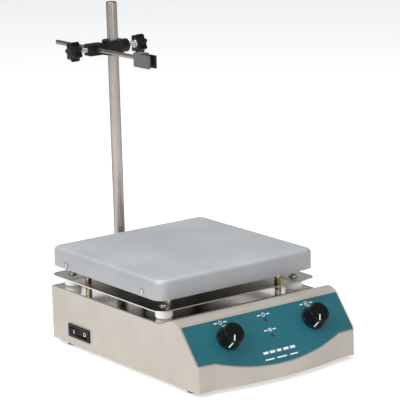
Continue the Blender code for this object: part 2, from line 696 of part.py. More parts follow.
# ---- side switch and rear panel ----
def switch():
    """Rocker switch in the left wall; the rocker's pin runs up through its middle."""
    wall = -HOUSING_HALF

    def block(bm, outer, deep, inset_y, inset_z):
        half_y = SWITCH_SIZE[0] / 2 - inset_y
        half_z = SWITCH_SIZE[1] / 2 - inset_z
        add_box(bm, (wall - outer, SWITCH_Y - half_y, SWITCH_Z - half_z),
                (wall + deep, SWITCH_Y + half_y, SWITCH_Z + half_z))

    bm = bmesh.new()
    block(bm, BEZEL, -GAP, 0, 0)
    frame = from_bmesh("switch_frame", bm, "black_plastic")
    bm = bmesh.new()
    block(bm, BEZEL / 2, SWITCH_DEPTH, SWITCH_LAP[0] + 0.4 * MM, SWITCH_LAP[1] + 0.4 * MM)
    join(frame, from_bmesh("switch_body", bm, None))
    bm = bmesh.new()
    block(bm, PAST, WELL_DEPTH, WELL_RIM[0], WELL_RIM[1])
    cut(frame, from_bmesh("switch_well", bm, None))
    reach = SWITCH_SIZE[0] / 2 - WELL_RIM[0] - ROCKER_PLAY
    half = SWITCH_SIZE[1] / 2 - WELL_RIM[1] - GAP
    end = reach - ROCKER_CHAMFER
    edge = -ROCKER_CROWN - ROCKER_DISH
    outline = [(-end, ROCKER_BACK), (end, ROCKER_BACK), (reach, edge), (0, -ROCKER_CROWN), (-reach, edge)]
    slab("switch_rocker", outline, -half, half, "black_plastic", frame=YX,
         at=(wall + ROCKER_PIVOT, SWITCH_Y, SWITCH_Z), turn=Matrix.Rotation(ROCKER_TILT, 3, "Z"))


def rear_panel():
    """Mains inlet with its three blades, and a fuse holder with its bayonet cap."""
    face = HOUSING_BACK + GAP
    half_x, half_z = INLET_FLANGE
    inlet = box("power_inlet", (INLET_X - half_x, face, INLET_Z - half_z),
                (INLET_X + half_x, face + INLET_SHEET, INLET_Z + half_z), "black_plastic")
    half_x, half_z = INLET_BODY
    deep = HOUSING_BACK - INLET_DEPTH
    join(inlet, box("inlet_body", (INLET_X - half_x, deep, INLET_Z - half_z),
                    (INLET_X + half_x, face + INLET_SHEET / 2, INLET_Z + half_z), None))
    half_x, half_z = SOCKET_HALF
    bevel_x, bevel_z = SOCKET_BEVEL
    socket = rounded([
        (half_x, half_z, MM), (-half_x, half_z, MM), (-half_x, -half_z + bevel_z, MM),
        (-half_x + bevel_x, -half_z, MM), (half_x - bevel_x, -half_z, MM),
        (half_x, -half_z + bevel_z, MM),
    ], steps=2)
    floor = deep + SOCKET_FLOOR
    cut(inlet, slab("inlet_socket", socket, -HOUSING_BACK - 2 * PAST, -floor, None,
                    frame=XZ, at=(INLET_X, 0, INLET_Z)))
    bm = bmesh.new()
    half_x, half_z = BLADE_HALF
    for x, z in ((-BLADE_X, -BLADE_HALF[0]), (0, BLADE_EARTH_Z), (BLADE_X, -BLADE_HALF[0])):
        add_box(bm, (INLET_X + x - half_x, floor - MM, INLET_Z + z - half_z),
                (INLET_X + x + half_x, HOUSING_BACK - BLADE_SHY, INLET_Z + z + half_z))
    join(inlet, from_bmesh("inlet_blades", bm, None))

    axis_turn = Matrix.Rotation(math.radians(-90), 3, "X")
    spot = (FUSE_X, HOUSING_BACK, INLET_Z)
    turned("fuse_holder", FUSE_HOLDER_PROFILE, "black_plastic", at=spot, turn=axis_turn, steps=20)
    cap = turned("fuse_cap", FUSE_CAP_PROFILE, "black_plastic", at=spot, turn=axis_turn, steps=20)
    bm = bmesh.new()
    half_x, half_y = CAP_SLOT
    add_box(bm, (-half_x, -half_y, CAP_SLOT_FLOOR), (half_x, half_y, CAP_SLOT_FLOOR + PAST))
    cut(cap, from_bmesh("cap_slot", bm, None, at=spot, turn=axis_turn))


# ---- reflector, pillars and work plate ----
def heat_shield():
    """Polished reflector on four white spacers, each with a screw down through it."""
    low = REFLECTOR_Z
    sheet = slab("reflector", rounded(square(REFLECTOR_HALF, REFLECTOR_HALF, REFLECTOR_CORNER)),
                 low, low + SHEET, "mirror_steel")
    bm = bmesh.new()
    for x, y in corners_of(SPACER_AT, SPACER_AT):
        add_cylinder(bm, STUD_HOLE, low - PAST, low + PAST, (x, y), sides=10)
    for x, y in corners_of(PILLAR_X, PILLAR_Y):
        add_cylinder(bm, PILLAR_RADIUS + GAP, low - PAST, low + PAST, (x, y), sides=12)
    add_cylinder(bm, LEAD_HOLE, low - PAST, low + PAST, (0, PILLAR_Y), sides=10)
    cut(sheet, from_bmesh("reflector_holes", bm, None))
    foot = HOUSING_TOP + GAP
    head = low + SHEET + GAP
    outer = SPACER_RADIUS
    inner = SPACER_RADIUS - SPACER_EDGE
    for i, (x, y) in enumerate(corners_of(SPACER_AT, SPACER_AT)):
        turned(f"spacer_{i + 1}", [
            (STUD_HOLE, low - GAP), (inner, low - GAP), (outer, low - GAP - 1.3 * SPACER_EDGE),
            (outer, foot + 1.3 * SPACER_EDGE), (inner, foot), (STUD_HOLE, foot),
        ], "white_ceramic", loop=True, at=(x, y, 0), steps=18)
        turned(f"reflector_screw_{i + 1}", [
            *[(radius, head + rise) for radius, rise in SCREW_HEAD],
            (STUD_RADIUS, head), (STUD_RADIUS, STUD_LOW), (0, STUD_LOW),
        ], "steel", at=(x, y, 0), steps=12)
    shoulder = PLATE_BOTTOM + 0.4 * MM
    for i, (x, y) in enumerate(corners_of(PILLAR_X, PILLAR_Y)):
        turned(f"pillar_{i + 1}", [
            (0, STUD_HIGH), (STUD_RADIUS, STUD_HIGH), (STUD_RADIUS, shoulder), (PILLAR_RADIUS, shoulder),
            (PILLAR_RADIUS, foot), (STUD_RADIUS, foot), (STUD_RADIUS, STUD_LOW), (0, STUD_LOW),
        ], "brass", at=(x, y, 0), steps=14)


def side_screw_holes(name, half, deep):
    """Cutter for the four screws through two side walls at +-half."""
    bm = bmesh.new()
    for side in (-1, 1):
        ends = sorted((side * (half - deep), side * (half + PAST)))
        for y in (-SIDE_SCREW_Y, SIDE_SCREW_Y):
            add_cylinder(bm, SIDE_SCREW_HOLE, *ends, (y, SIDE_SCREW_Z), "X", sides=10)
    return from_bmesh(name, bm, None)


def work_plate():
    """Cast plate with a rounded rim and a hollow underside for the pan and the heater."""
    plate = slab("work_plate", rounded(square(PLATE_HALF, PLATE_HALF, PLATE_CORNER), steps=6),
                 PLATE_BOTTOM - 2 * PLATE_EDGE, PLATE_TOP, "cast_aluminium")
    soften(plate, PLATE_EDGE, segments=3, angle=60)
    bm = bmesh.new()
    add_box(bm, (-FAR, -FAR, PLATE_BOTTOM - 4 * PLATE_EDGE), (FAR, FAR, PLATE_BOTTOM))
    cut(plate, from_bmesh("plate_trim", bm, None))
    inner = PLATE_HALF - PLATE_SKIRT
    cut(plate, slab("plate_hollow", rounded(square(inner, inner, PAN_CORNER + PAN_FIT), steps=4),
                    PLATE_BOTTOM - PAST, PLATE_TOP - PLATE_DECK, None))
    cut(plate, side_screw_holes("plate_screw_holes", PLATE_HALF, 2 * PLATE_SKIRT))

    wide = inner - PAN_FIT
    low = PLATE_BOTTOM + PAN_LIFT
    inside = rounded(square(wide - SHEET, wide - SHEET, PAN_CORNER - SHEET), steps=4)
    pan = slab("plate_pan", rounded(square(wide, wide, PAN_CORNER), steps=4), low, low + PAN_HEIGHT,
               "zinc_plate")
    cut(pan, slab("pan_hollow", inside, low + SHEET, low + PAN_HEIGHT + PAST, None))
    bm = bmesh.new()
    for x, y in corners_of(PILLAR_X, PILLAR_Y):
        add_cylinder(bm, STUD_HOLE, low - PAST, low + 3 * SHEET, (x, y), sides=10)
    add_cylinder(bm, LEAD_HOLE, low - PAST, low + 3 * SHEET, (0, PILLAR_Y), sides=10)
    cut(pan, from_bmesh("pan_holes", bm, None))
    cut(pan, side_screw_holes("pan_screw_holes", wide, 4 * SHEET))

    turned("heater_disc", [
        (HEATER_BORE, HEATER_HIGH), (HEATER_RADIUS, HEATER_HIGH), (HEATER_RADIUS, HEATER_LOW),
        (HEATER_BORE, HEATER_LOW),
    ], "mica", loop=True, steps=36)
    spots = [(side, y) for side in (-1, 1) for y in (-SIDE_SCREW_Y, SIDE_SCREW_Y)]
    for i, (side, y) in enumerate(spots):
        turned(f"plate_screw_{i + 1}", SIDE_SCREW_PROFILE, "steel", steps=12,
               at=(side * (PLATE_HALF + GAP), y, SIDE_SCREW_Z),
               turn=Matrix.Rotation(side * math.radians(90), 3, "Y"))
    cylinder("heater_lead", LEAD_RADIUS, LEAD_LOW, HEATER_LOW - 0.4 * MM, "glass_sleeve",
             centre=(0, PILLAR_Y), sides=12)


# ---- rod, boss head and holder ----
def stand():
    """Lug on the housing's back, the support rod through it, and the nut that locks the rod."""
    face = HOUSING_BACK + GAP
    low = LUG_LOW
    high = LUG_LOW + LUG_HEIGHT
    half = LUG_PLATE / 2
    lug = box("rod_bracket", (-half, face, low - LUG_LAP), (half, face + LUG_SHEET, high + LUG_LAP),
              "cream_paint")
    soften(lug, LUG_EDGE, segments=1)
    join(lug, cylinder("lug_barrel", LUG_BARREL, low, high, None, centre=(0, ROD_Y), sides=28))
    join(lug, box("lug_web", (-LUG_WEB / 2, face + MM, low + LUG_EDGE),
                  (LUG_WEB / 2, ROD_Y, high - LUG_EDGE), None))
    cut(lug, cylinder("lug_bore", ROD_RADIUS + GAP, low - PAST, high + PAST, None,
                      centre=(0, ROD_Y), sides=24))
    shoulder = low - MM
    turned("support_rod", [
        (0, ROD_TOP), (ROD_RADIUS - ROD_EDGE, ROD_TOP), (ROD_RADIUS, ROD_TOP - ROD_EDGE),
        (ROD_RADIUS, shoulder), (ROD_THREAD, shoulder), (ROD_THREAD, ROD_LOW), (0, ROD_LOW),
    ], "steel", at=(0, ROD_Y, 0), steps=24)
    nut = cylinder("rod_nut", NUT_RADIUS, shoulder - NUT_HEIGHT, shoulder - 0.4 * MM, "steel",
                   centre=(0, ROD_Y), sides=6)
    cut(nut, cylinder("nut_bore", ROD_THREAD + GAP, 0, low, None, centre=(0, ROD_Y), sides=20))


def star_knob(name, side, at):
    """Seven-lobed hand knob on the X axis; side says which way it faces."""
    turn = Matrix.Rotation(side * math.radians(90), 3, "Y")
    knob = cylinder(name, STAR_CORE, 0, STAR_HEIGHT, "black_plastic", sides=21, at=at, turn=turn)
    for k in range(STAR_LOBES):
        angle = math.tau * k / STAR_LOBES
        spot = (STAR_REACH * math.cos(angle), STAR_REACH * math.sin(angle))
        join(knob, cylinder(f"{name}_lobe_{k + 1}", STAR_LOBE, STAR_EDGE, STAR_HEIGHT - STAR_EDGE,
                            None, centre=spot, sides=10, at=at, turn=turn))
    cut(knob, cylinder(f"{name}_socket", SCREW_THREAD + 0.6 * MM, -PAST, STAR_SOCKET, None, sides=12,
                       at=at, turn=turn))


def boss():
    """Boss head: one jaw on the support rod and one on the arm, each with a screw along X."""
    low = BOSS_Z - BOSS_HALF
    high = BOSS_Z + BOSS_HALF
    deep = BOSS_DEPTH / 2
    neck = BOSS_NECK / 2
    head = box("boss_head", (BOSS_LEFT, ROD_Y - deep, ARM_Z - BOSS_ARM_HALF),
               (-BOSS_INNER, ROD_Y + deep, ARM_Z + BOSS_ARM_HALF), "black_paint")
    soften(head, BOSS_EDGE, segments=2)
    join(head, box("boss_neck", (-BOSS_RIGHT, ROD_Y - neck, BOSS_Z - neck),
                   (0, ROD_Y + neck, BOSS_Z + neck), None))
    join(head, cylinder("boss_rod_jaw", BOSS_BARREL, low, high, None, centre=(0, ROD_Y), sides=28))
    join(head, cylinder("boss_screw_boss", BOSS_NOSE, ROD_RADIUS + MM, BOSS_RIGHT, None,
                        centre=(ROD_Y, BOSS_Z), axis="X", sides=20))
    cut(head, cylinder("boss_rod_bore", ROD_RADIUS + GAP, low - PAST, high + PAST, None,
                       centre=(0, ROD_Y), sides=24))
    cut(head, cylinder("boss_arm_bore", ARM_RADIUS + GAP, ROD_Y - 2 * deep, ROD_Y + 2 * deep, None,
                       centre=(ARM_X, ARM_Z), axis="Y", sides=16))
    bm = bmesh.new()
    add_cylinder(bm, SCREW_THREAD + GAP, BOSS_LEFT - PAST, ARM_X, (ROD_Y, ARM_Z), "X", sides=14)
    add_cylinder(bm, SCREW_THREAD + GAP, 0, BOSS_RIGHT + PAST, (ROD_Y, BOSS_Z), "X", sides=14)
    cut(head, from_bmesh("boss_screw_bores", bm, None))
    along = Matrix.Rotation(math.radians(90), 3, "Y")
    arm_screw_end = -GAP - ARM_RADIUS
    rod_screw_start = ROD_RADIUS + 0.5 * MM
    cylinder("arm_clamp_screw", SCREW_THREAD, -ARM_SCREW_LENGTH, arm_screw_end, "steel", sides=14,
             at=(ARM_X, ROD_Y, ARM_Z), turn=along)
    cylinder("rod_clamp_screw", SCREW_THREAD, rod_screw_start, ROD_SCREW_END, "steel", sides=14,
             at=(0, ROD_Y, BOSS_Z), turn=along)
    star_knob("arm_star_knob", -1, (ARM_STAR_X, ROD_Y, ARM_Z))
    star_knob("rod_star_knob", 1, (ROD_STAR_X, ROD_Y, BOSS_Z))


def holder():
    """Thin arm through the boss head, and on its front end a block whose jaw closes on a probe."""
    cylinder("probe_arm", ARM_RADIUS, ARM_FRONT - ROD_Y, ARM_BACK - ROD_Y, "steel", axis="Y", sides=16,
             at=(ARM_X, ROD_Y, ARM_Z))
    spot = (ARM_X, ARM_FRONT, ARM_Z)
    front = HOLDER_FRONT - ARM_FRONT
    notch = CHEEK_BACK - ARM_FRONT
    block = box("holder_block", (-BLOCK_HALF, front, BLOCK_LOW),
                (BLOCK_HALF, BLOCK_BACK - ARM_FRONT, BLOCK_HIGH), "grey_metal", at=spot)
    soften(block, BLOCK_EDGE, segments=1)
    cut(block, box("holder_notch", (CHEEK_INNER, front - PAST, BLOCK_LOW - PAST),
                   (BLOCK_HALF + PAST, notch, BLOCK_HIGH + PAST), None, at=spot))
    cut(block, box("cheek_step", (-BLOCK_HALF - PAST, front - PAST, CHEEK_HIGH),
                   (CHEEK_INNER + PAST, notch, BLOCK_HIGH + PAST), None, at=spot))
    cut(block, cylinder("holder_arm_bore", ARM_RADIUS + GAP, -MM, BLOCK_BACK, None, axis="Y",
                        sides=16, at=spot))
    pin = (ARM_X, PIN_Y, ARM_Z + PIN_Z)
    cut(block, cylinder("holder_pin_seat", PIN_RADIUS + GAP, PIN_START - GAP, CHEEK_INNER + PAST, None,
                        axis="X", sides=12, at=pin))
    cylinder("jaw_pin", PIN_RADIUS, PIN_START, PIN_END, "steel", axis="X", sides=12, at=pin)
    jaw = box("holder_jaw", (JAW_INNER, HOLDER_FRONT - PIN_Y, BLOCK_LOW - PIN_Z),
              (JAW_OUTER, JAW_BACK - PIN_Y, CHEEK_HIGH - PIN_Z), "black_paint", at=pin)
    soften(jaw, BLOCK_EDGE / 2, segments=1)
    cut(jaw, cylinder("jaw_bore", PIN_RADIUS + GAP, JAW_INNER - PAST, JAW_OUTER + PAST, None, axis="X",
                      sides=12, at=pin))


housing()
top_cover()
panel()
for word, dial_x in DIALS.items():
    dial(word, dial_x)
circuit_board()
drive()
switch()
rear_panel()
heat_shield()
work_plate()
stand()
boss()
holder()
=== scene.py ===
"""Finished surfaces, materials and studio for a hotplate magnetic stirrer.

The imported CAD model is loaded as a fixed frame. Every piece made here takes its place and size
from that frame. The script is laid out as an add-on: one operator makes each group of pieces.
"""
import json
import math

import bmesh
import bpy
import numpy as np
from bpy.props import FloatProperty, FloatVectorProperty, IntProperty, PointerProperty
from mathutils import Matrix, Vector

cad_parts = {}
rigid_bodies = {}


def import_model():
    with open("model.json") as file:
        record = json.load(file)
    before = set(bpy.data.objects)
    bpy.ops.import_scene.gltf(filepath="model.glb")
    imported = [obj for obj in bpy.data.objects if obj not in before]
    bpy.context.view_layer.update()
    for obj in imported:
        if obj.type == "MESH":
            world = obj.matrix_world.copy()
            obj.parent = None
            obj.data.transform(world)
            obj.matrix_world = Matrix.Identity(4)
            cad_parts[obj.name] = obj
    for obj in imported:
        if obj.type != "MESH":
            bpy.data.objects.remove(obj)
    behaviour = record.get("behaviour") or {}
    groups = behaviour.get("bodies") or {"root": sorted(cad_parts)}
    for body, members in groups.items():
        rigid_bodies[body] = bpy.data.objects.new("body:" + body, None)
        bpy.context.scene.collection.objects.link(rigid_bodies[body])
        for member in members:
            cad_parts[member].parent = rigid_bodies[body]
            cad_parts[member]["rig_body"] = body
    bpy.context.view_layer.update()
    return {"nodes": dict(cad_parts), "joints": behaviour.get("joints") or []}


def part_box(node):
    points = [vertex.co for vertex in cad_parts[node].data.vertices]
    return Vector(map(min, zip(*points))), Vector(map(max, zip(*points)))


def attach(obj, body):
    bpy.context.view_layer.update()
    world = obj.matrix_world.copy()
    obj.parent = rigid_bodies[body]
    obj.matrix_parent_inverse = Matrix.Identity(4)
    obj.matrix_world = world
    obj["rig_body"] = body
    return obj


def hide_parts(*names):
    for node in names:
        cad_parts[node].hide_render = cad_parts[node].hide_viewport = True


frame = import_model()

bl_info = {
    "name": "Magnetic stirrer finish",
    "version": (1, 0, 0),
    "blender": (4, 5, 0),
    "location": "View3D > Sidebar > Stirrer",
    "description": "Adds the finished pieces, materials and studio of a hotplate stirrer",
    "category": "Object",
}

MM = 0.001
WELD = 0.002 * MM                  # points nearer than this are one point
DIAL_REST = math.radians(150)      # pointers at rest, anticlockwise from straight up the panel
CORNER_STEPS = 8                   # points round each quarter of an outline
CORNER_NAMES = (1, 2, 3, 4)
DARK_RIM = (0.0, 0.0, 0.0)         # tint of a metal that darkens where it turns away

# Fixed sizes, in millimetres.
FOOT_RADIUS = 8.0
FOOT_TREAD = 5.0                   # radius of the flat middle under a foot
SPACER_BORE = 2.3                  # radius
PILLAR_RADIUS = 3.0
PILLAR_NECK = 2.0                  # radius of a pillar's two ends
PLATE_WALL = 4.3
PLATE_DECK = 5.3                   # thickness of the plate's top
PLATE_CORNER = 10.0                # radius of the plate's corners, seen from above
FILM_FACE = 0.83                   # film's face above the line through the dials' joints
MARK_RISE = 0.06                   # thickness of a printed mark
KNOB_FOOT = 1.2                    # knob's lower face above its joint
KNOB_TOP = 14.2
KNOB_CROWN = 9.2                   # radius at the top
KNOB_BASE = 10.8                   # radius at the skirt
KEY_FACE = 3.43                    # rocker's face from its pivot, at the middle of its dish
ROD_RADIUS = 4.9
ROD_THREAD = 4.0                   # outer radius of the thread on the rod's foot
ROD_FOOT = 8.0                     # length of that foot
FLOOR_RADIUS = 9000.0


# ---- settings ----
def colour(name, value, text):
    """A colour setting."""
    return FloatVectorProperty(name=name, description=text, subtype="COLOR", size=3, min=0, max=1,
                               default=value)


def length(name, value, text):
    """A length setting whose default is given in millimetres."""
    return FloatProperty(name=name, description=text, subtype="DISTANCE", unit="LENGTH", min=0,
                         default=value * MM)


class StirrerColours(bpy.types.PropertyGroup):
    """Colours of the finishes."""
    housing: colour("Housing", (0.448, 0.410, 0.359), "Satin paint on the housing")
    film: colour("Panel film", (0.006, 0.120, 0.152), "Printed film on the sloping panel")
    print_ink: colour("Print", (0.86, 0.88, 0.88), "Marks printed on the film and the knobs")
    plate: colour("Work plate", (0.60, 0.615, 0.635), "Cast plate")
    sheet: colour("Bright sheet", (0.70, 0.685, 0.66), "Polished cover and reflector")
    steel: colour("Steel", (0.43, 0.385, 0.35), "Ground rod, arm and screws")
    brass: colour("Brass", (0.94, 0.79, 0.53), "Turned pillars")
    spacer: colour("Spacers", (0.95, 0.945, 0.93), "White insulating spacers")
    knob: colour("Knobs", (0.006, 0.007, 0.007), "Glossy black mouldings")
    casting: colour("Black casting", (0.007, 0.007, 0.008), "Coated boss head and jaw")
    lens: colour("Lamp lens", (0.035, 0.006, 0.006), "Tinted lens of an unlit lamp")
    floor: colour("Floor", (0.93, 0.93, 0.925), "Studio floor")


class StirrerSizes(bpy.types.PropertyGroup):
    """Sizes that change the look of a piece and not its place."""
    plate_rim: length("Plate rim", 4.0, "Radius of the work plate's upper edge")
    housing_edge: length("Housing edge", 1.1, "Rounding of the housing's edges")
    sheet_edge: length("Sheet edge", 0.25, "Rounding of the bright sheets' edges")
    flutes: IntProperty(name="Knob flutes", description="Flutes round each dial knob", default=36,
                        min=8, max=72)
    flute_depth: length("Flute depth", 0.22, "Depth of the dial knobs' flutes")
    lobes: IntProperty(name="Star lobes", description="Lobes of the clamp knobs", default=7,
                       min=3, max=12)
    thread_pitch: length("Thread pitch", 0.9, "Pitch of the clamp screws")
    thread_depth: length("Thread depth", 0.28, "Depth of the clamp screws' thread")
    print_width: length("Line width", 0.55, "Width of the lines printed on the panel")


class StudioSettings(bpy.types.PropertyGroup):
    """Camera and lights."""
    lens: FloatProperty(name="Lens", description="Focal length in millimetres", default=189.3,
                        min=20, max=400)
    roll: FloatProperty(name="Roll", description="Camera roll", subtype="ANGLE", unit="ROTATION",
                        default=math.radians(-1.59))
    turn: FloatProperty(name="Turn", description="Camera's turn round the stirrer", subtype="ANGLE",
                        unit="ROTATION", default=math.radians(-36.05))
    rise: FloatProperty(name="Rise", description="Camera's angle above the horizon",
                        subtype="ANGLE", unit="ROTATION", default=math.radians(13.05))
    place: FloatVectorProperty(name="Place", description="Where the camera stands",
                               subtype="TRANSLATION", unit="LENGTH", size=3,
                               default=(-1.05758, -1.49079, 0.5544))
    key: FloatProperty(name="Key", description="Power of the main softbox", subtype="POWER",
                       unit="POWER", default=22, min=0)
    fill: FloatProperty(name="Fill", description="Power of the fill softbox", subtype="POWER",
                        unit="POWER", default=5, min=0)
    top: FloatProperty(name="Overhead", description="Power of the overhead softbox",
                       subtype="POWER", unit="POWER", default=17, min=0)
    sky: FloatProperty(name="Surround", description="Brightness of the surround", default=0.38,
                       min=0)


def colours():
    """The colours as the user has set them."""
    return bpy.context.scene.stirrer_colours


def sizes():
    """The sizes as the user has set them."""
    return bpy.context.scene.stirrer_sizes


# ---- places in the frame ----
def span(node):
    """Lowest corner, highest corner and middle of a CAD node, as arrays in metres."""
    low, high = [np.array(corner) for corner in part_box(node)]
    return low, high, (low + high) / 2


def joint(name):
    """The frame's entry for a joint."""
    return next(entry for entry in frame["joints"] if entry["name"] == name)


def turn_to(axis, across=(1, 0, 0)):
    """The turn whose Z is the axis and whose X is as near as it can be to across."""
    z = Vector(axis).normalized()
    x = Vector(across)
    x = (x - z * x.dot(z)).normalized()
    return Matrix((x, z.cross(x), z)).transposed()


def stand_at(points, at, turn=None):
    """Points turned and then moved, as one array."""
    if turn is not None:
        points = points @ np.array(turn.to_3x3()).T
    return points + np.array(at)


# ---- surfaces ----
def skin(rings, caps=True, loop=False):
    """Quads between each ring of points and the next; a flat face closes each end, or the last
    ring is joined to the first."""
    count, around = rings.shape[:2]
    index = np.arange(count * around).reshape(count, around)
    if loop:
        index = np.vstack([index, index[:1]])
    low = index[:-1]
    high = index[1:]
    quads = np.stack([low, np.roll(low, -1, 1), np.roll(high, -1, 1), high], -1)
    faces = quads.reshape(-1, 4).tolist()
    if caps and not loop:
        faces += [index[0][::-1].tolist(), index[-1].tolist()]
    return rings.reshape(-1, 3), faces


def joined(*surfaces):
    """Several point and face lists as one."""
    points = []
    faces = []
    total = 0
    for spots, polygons in surfaces:
        points.append(spots)
        faces += [[corner + total for corner in polygon] for polygon in polygons]
        total += len(spots)
    return np.concatenate(points), faces


def arc_line(*points, steps=6):
    """A line through (radius, height, rounding) points in millimetres, each rounded by an arc that
    meets both of its sides; the ends stay sharp. The result is in metres."""
    spots = [np.array(point[:2], float) for point in points]
    line = [spots[0]]
    for i in range(1, len(points) - 1):
        here = spots[i]
        size = points[i][2] if len(points[i]) > 2 else 0
        if size == 0:
            line.append(here)
            continue
        before = (spots[i - 1] - here) / np.linalg.norm(spots[i - 1] - here)
        after = (spots[i + 1] - here) / np.linalg.norm(spots[i + 1] - here)
        half = math.acos(float(np.clip(before @ after, -1, 1))) / 2
        centre = here + (before + after) / np.linalg.norm(before + after) * size / math.sin(half)
        start = here + before * size / math.tan(half) - centre
        end = here + after * size / math.tan(half) - centre
        share = np.linspace(0, 1, steps + 1)[:, None]
        spokes = start * (1 - share) + end * share
        line.extend(centre + spokes / np.linalg.norm(spokes, axis=1)[:, None] * size)
    line.append(spots[-1])
    return np.array(line) * MM


def lathe(line, steps=48, ripple=None):
    """Each (radius, height) of the line swept round Z: x = r cos a, y = r sin a, z = h. A ripple
    takes the angles and the heights and gives what is taken off the radius."""
    angle = np.linspace(0, math.tau, steps, endpoint=False)[None, :]
    radius = line[:, :1]
    height = line[:, 1:]
    if ripple is not None:
        radius = radius - ripple(angle, height)
    return np.stack(np.broadcast_arrays(radius * np.cos(angle), radius * np.sin(angle),
                                        height + 0 * angle), -1)


def slab_rings(half_x, half_y, corner, line):
    """Rounded rectangles, one for each (inset, height) of the line: the outline's sides move in by
    the inset, and its corner arcs shrink by as much."""
    inset = line[:, 0][:, None]
    quarter = np.linspace(0, math.pi / 2, CORNER_STEPS + 1)
    angle = np.concatenate([quarter + k * math.pi / 2 for k in range(4)])[None, :]
    side_x = np.repeat([1, -1, -1, 1], CORNER_STEPS + 1)[None, :]
    side_y = np.repeat([1, 1, -1, -1], CORNER_STEPS + 1)[None, :]
    radius = np.maximum(corner - inset, 0.02 * MM)
    x = side_x * (half_x - inset - radius) + radius * np.cos(angle)
    y = side_y * (half_y - inset - radius) + radius * np.sin(angle)
    return np.stack(np.broadcast_arrays(x, y, line[:, 1][:, None] + 0 * angle), -1)


def eased(low, high, edge, steps=5):
    """(inset, height) pairs up a wall whose two ends are rounded by quarter circles."""
    angle = np.linspace(0, math.pi / 2, steps + 1)
    inset = edge * (1 - np.sin(angle))
    rise = edge * (1 - np.cos(angle))
    return np.stack([np.concatenate([inset, inset[::-1]]),
                     np.concatenate([low + rise, high - rise[::-1]])], -1)


def tape(path, across, out, width, thickness):
    """A flat band along a path: four corners at +-half the width and +-half the thickness, carried
    from point to point."""
    side = np.broadcast_to(np.array(across, float), path.shape) * width / 2
    lift = np.broadcast_to(np.array(out, float), path.shape) * thickness / 2
    return skin(np.stack([path - side - lift, path + side - lift, path + side + lift,
                          path - side + lift], 1))


def weld(mesh, finish_off=None):
    """Merge a mesh's doubles, which closes seams and poles, and pass it on before it is written."""
    bm = bmesh.new()
    bm.from_mesh(mesh)
    bmesh.ops.remove_doubles(bm, verts=bm.verts, dist=WELD)
    if finish_off:
        finish_off(bm)
    bm.to_mesh(mesh)
    bm.free()


def face_out(bm):
    """Turn every face outwards."""
    bmesh.ops.recalc_face_normals(bm, faces=bm.faces)


def flatten(bm):
    """Make flat faces whole again from their triangles."""
    bmesh.ops.dissolve_limit(bm, angle_limit=math.radians(0.6), verts=bm.verts, edges=bm.edges)


def stand(name, data):
    """A new object in the scene."""
    thing = bpy.data.objects.new(name, data)
    bpy.context.scene.collection.objects.link(thing)
    return thing


def make(name, surface, body, look, stands_for=(), sharp=32):
    """Put points and faces into a piece, weld it, and turn its faces outwards."""
    points, faces = surface
    mesh = bpy.data.meshes.new(name)
    mesh.from_pydata(points.tolist(), [], faces)
    weld(mesh, face_out)
    return settle(name, mesh, body, look, stands_for, sharp)


def settle(name, mesh, body, look, stands_for, sharp):
    """Link a mesh, say which body it rides on, give it its finish and hide the CAD nodes it stands for.
    """
    mesh.materials.clear()
    mesh.materials.append(finish(look))
    mesh.shade_smooth()
    mesh.set_sharp_from_angle(angle=math.radians(sharp))
    piece = stand(name, mesh)
    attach(piece, body)
    if stands_for:
        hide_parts(*stands_for)
    return piece


def eased_copy(name, node, edge, look=None, segments=3, limit=30, sharp=30):
    """A copy of a CAD node, welded, with its flat faces made whole again and its creases rounded."""
    source = frame["nodes"][node]
    mesh = source.data.copy()
    mesh.name = name
    weld(mesh, flatten)
    slot = slot_of(node)
    piece = settle(name, mesh, source["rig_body"], look or slot, (node,), sharp)
    bevel = piece.modifiers.new("eased edges", "BEVEL")
    bevel.width = edge
    bevel.segments = segments
    bevel.limit_method = "ANGLE"
    bevel.angle_limit = math.radians(limit)
    bevel.harden_normals = True
    return piece


def slot_of(node):
    """The material slot that the CAD gives a node."""
    return frame["nodes"][node].data.materials[0].name.split(".")[0]


# ---- shader expressions ----
class Wire:
    """A socket in an expression: each operator adds a Math node to its material."""

    def __init__(self, paint, socket):
        self.paint = paint
        self.socket = socket

    def _math(self, operation, first, second):
        """A Math node on two values or wires."""
        return self.paint.node("ShaderNodeMath", {"operation": operation}, {0: first, 1: second})

    def __add__(self, other):
        return self._math("ADD", self, other)

    def __mul__(self, other):
        return self._math("MULTIPLY", self, other)

    def __sub__(self, other):
        return self._math("SUBTRACT", self, other)

    def __rsub__(self, other):
        return self._math("SUBTRACT", other, self)

    __radd__ = __add__
    __rmul__ = __mul__


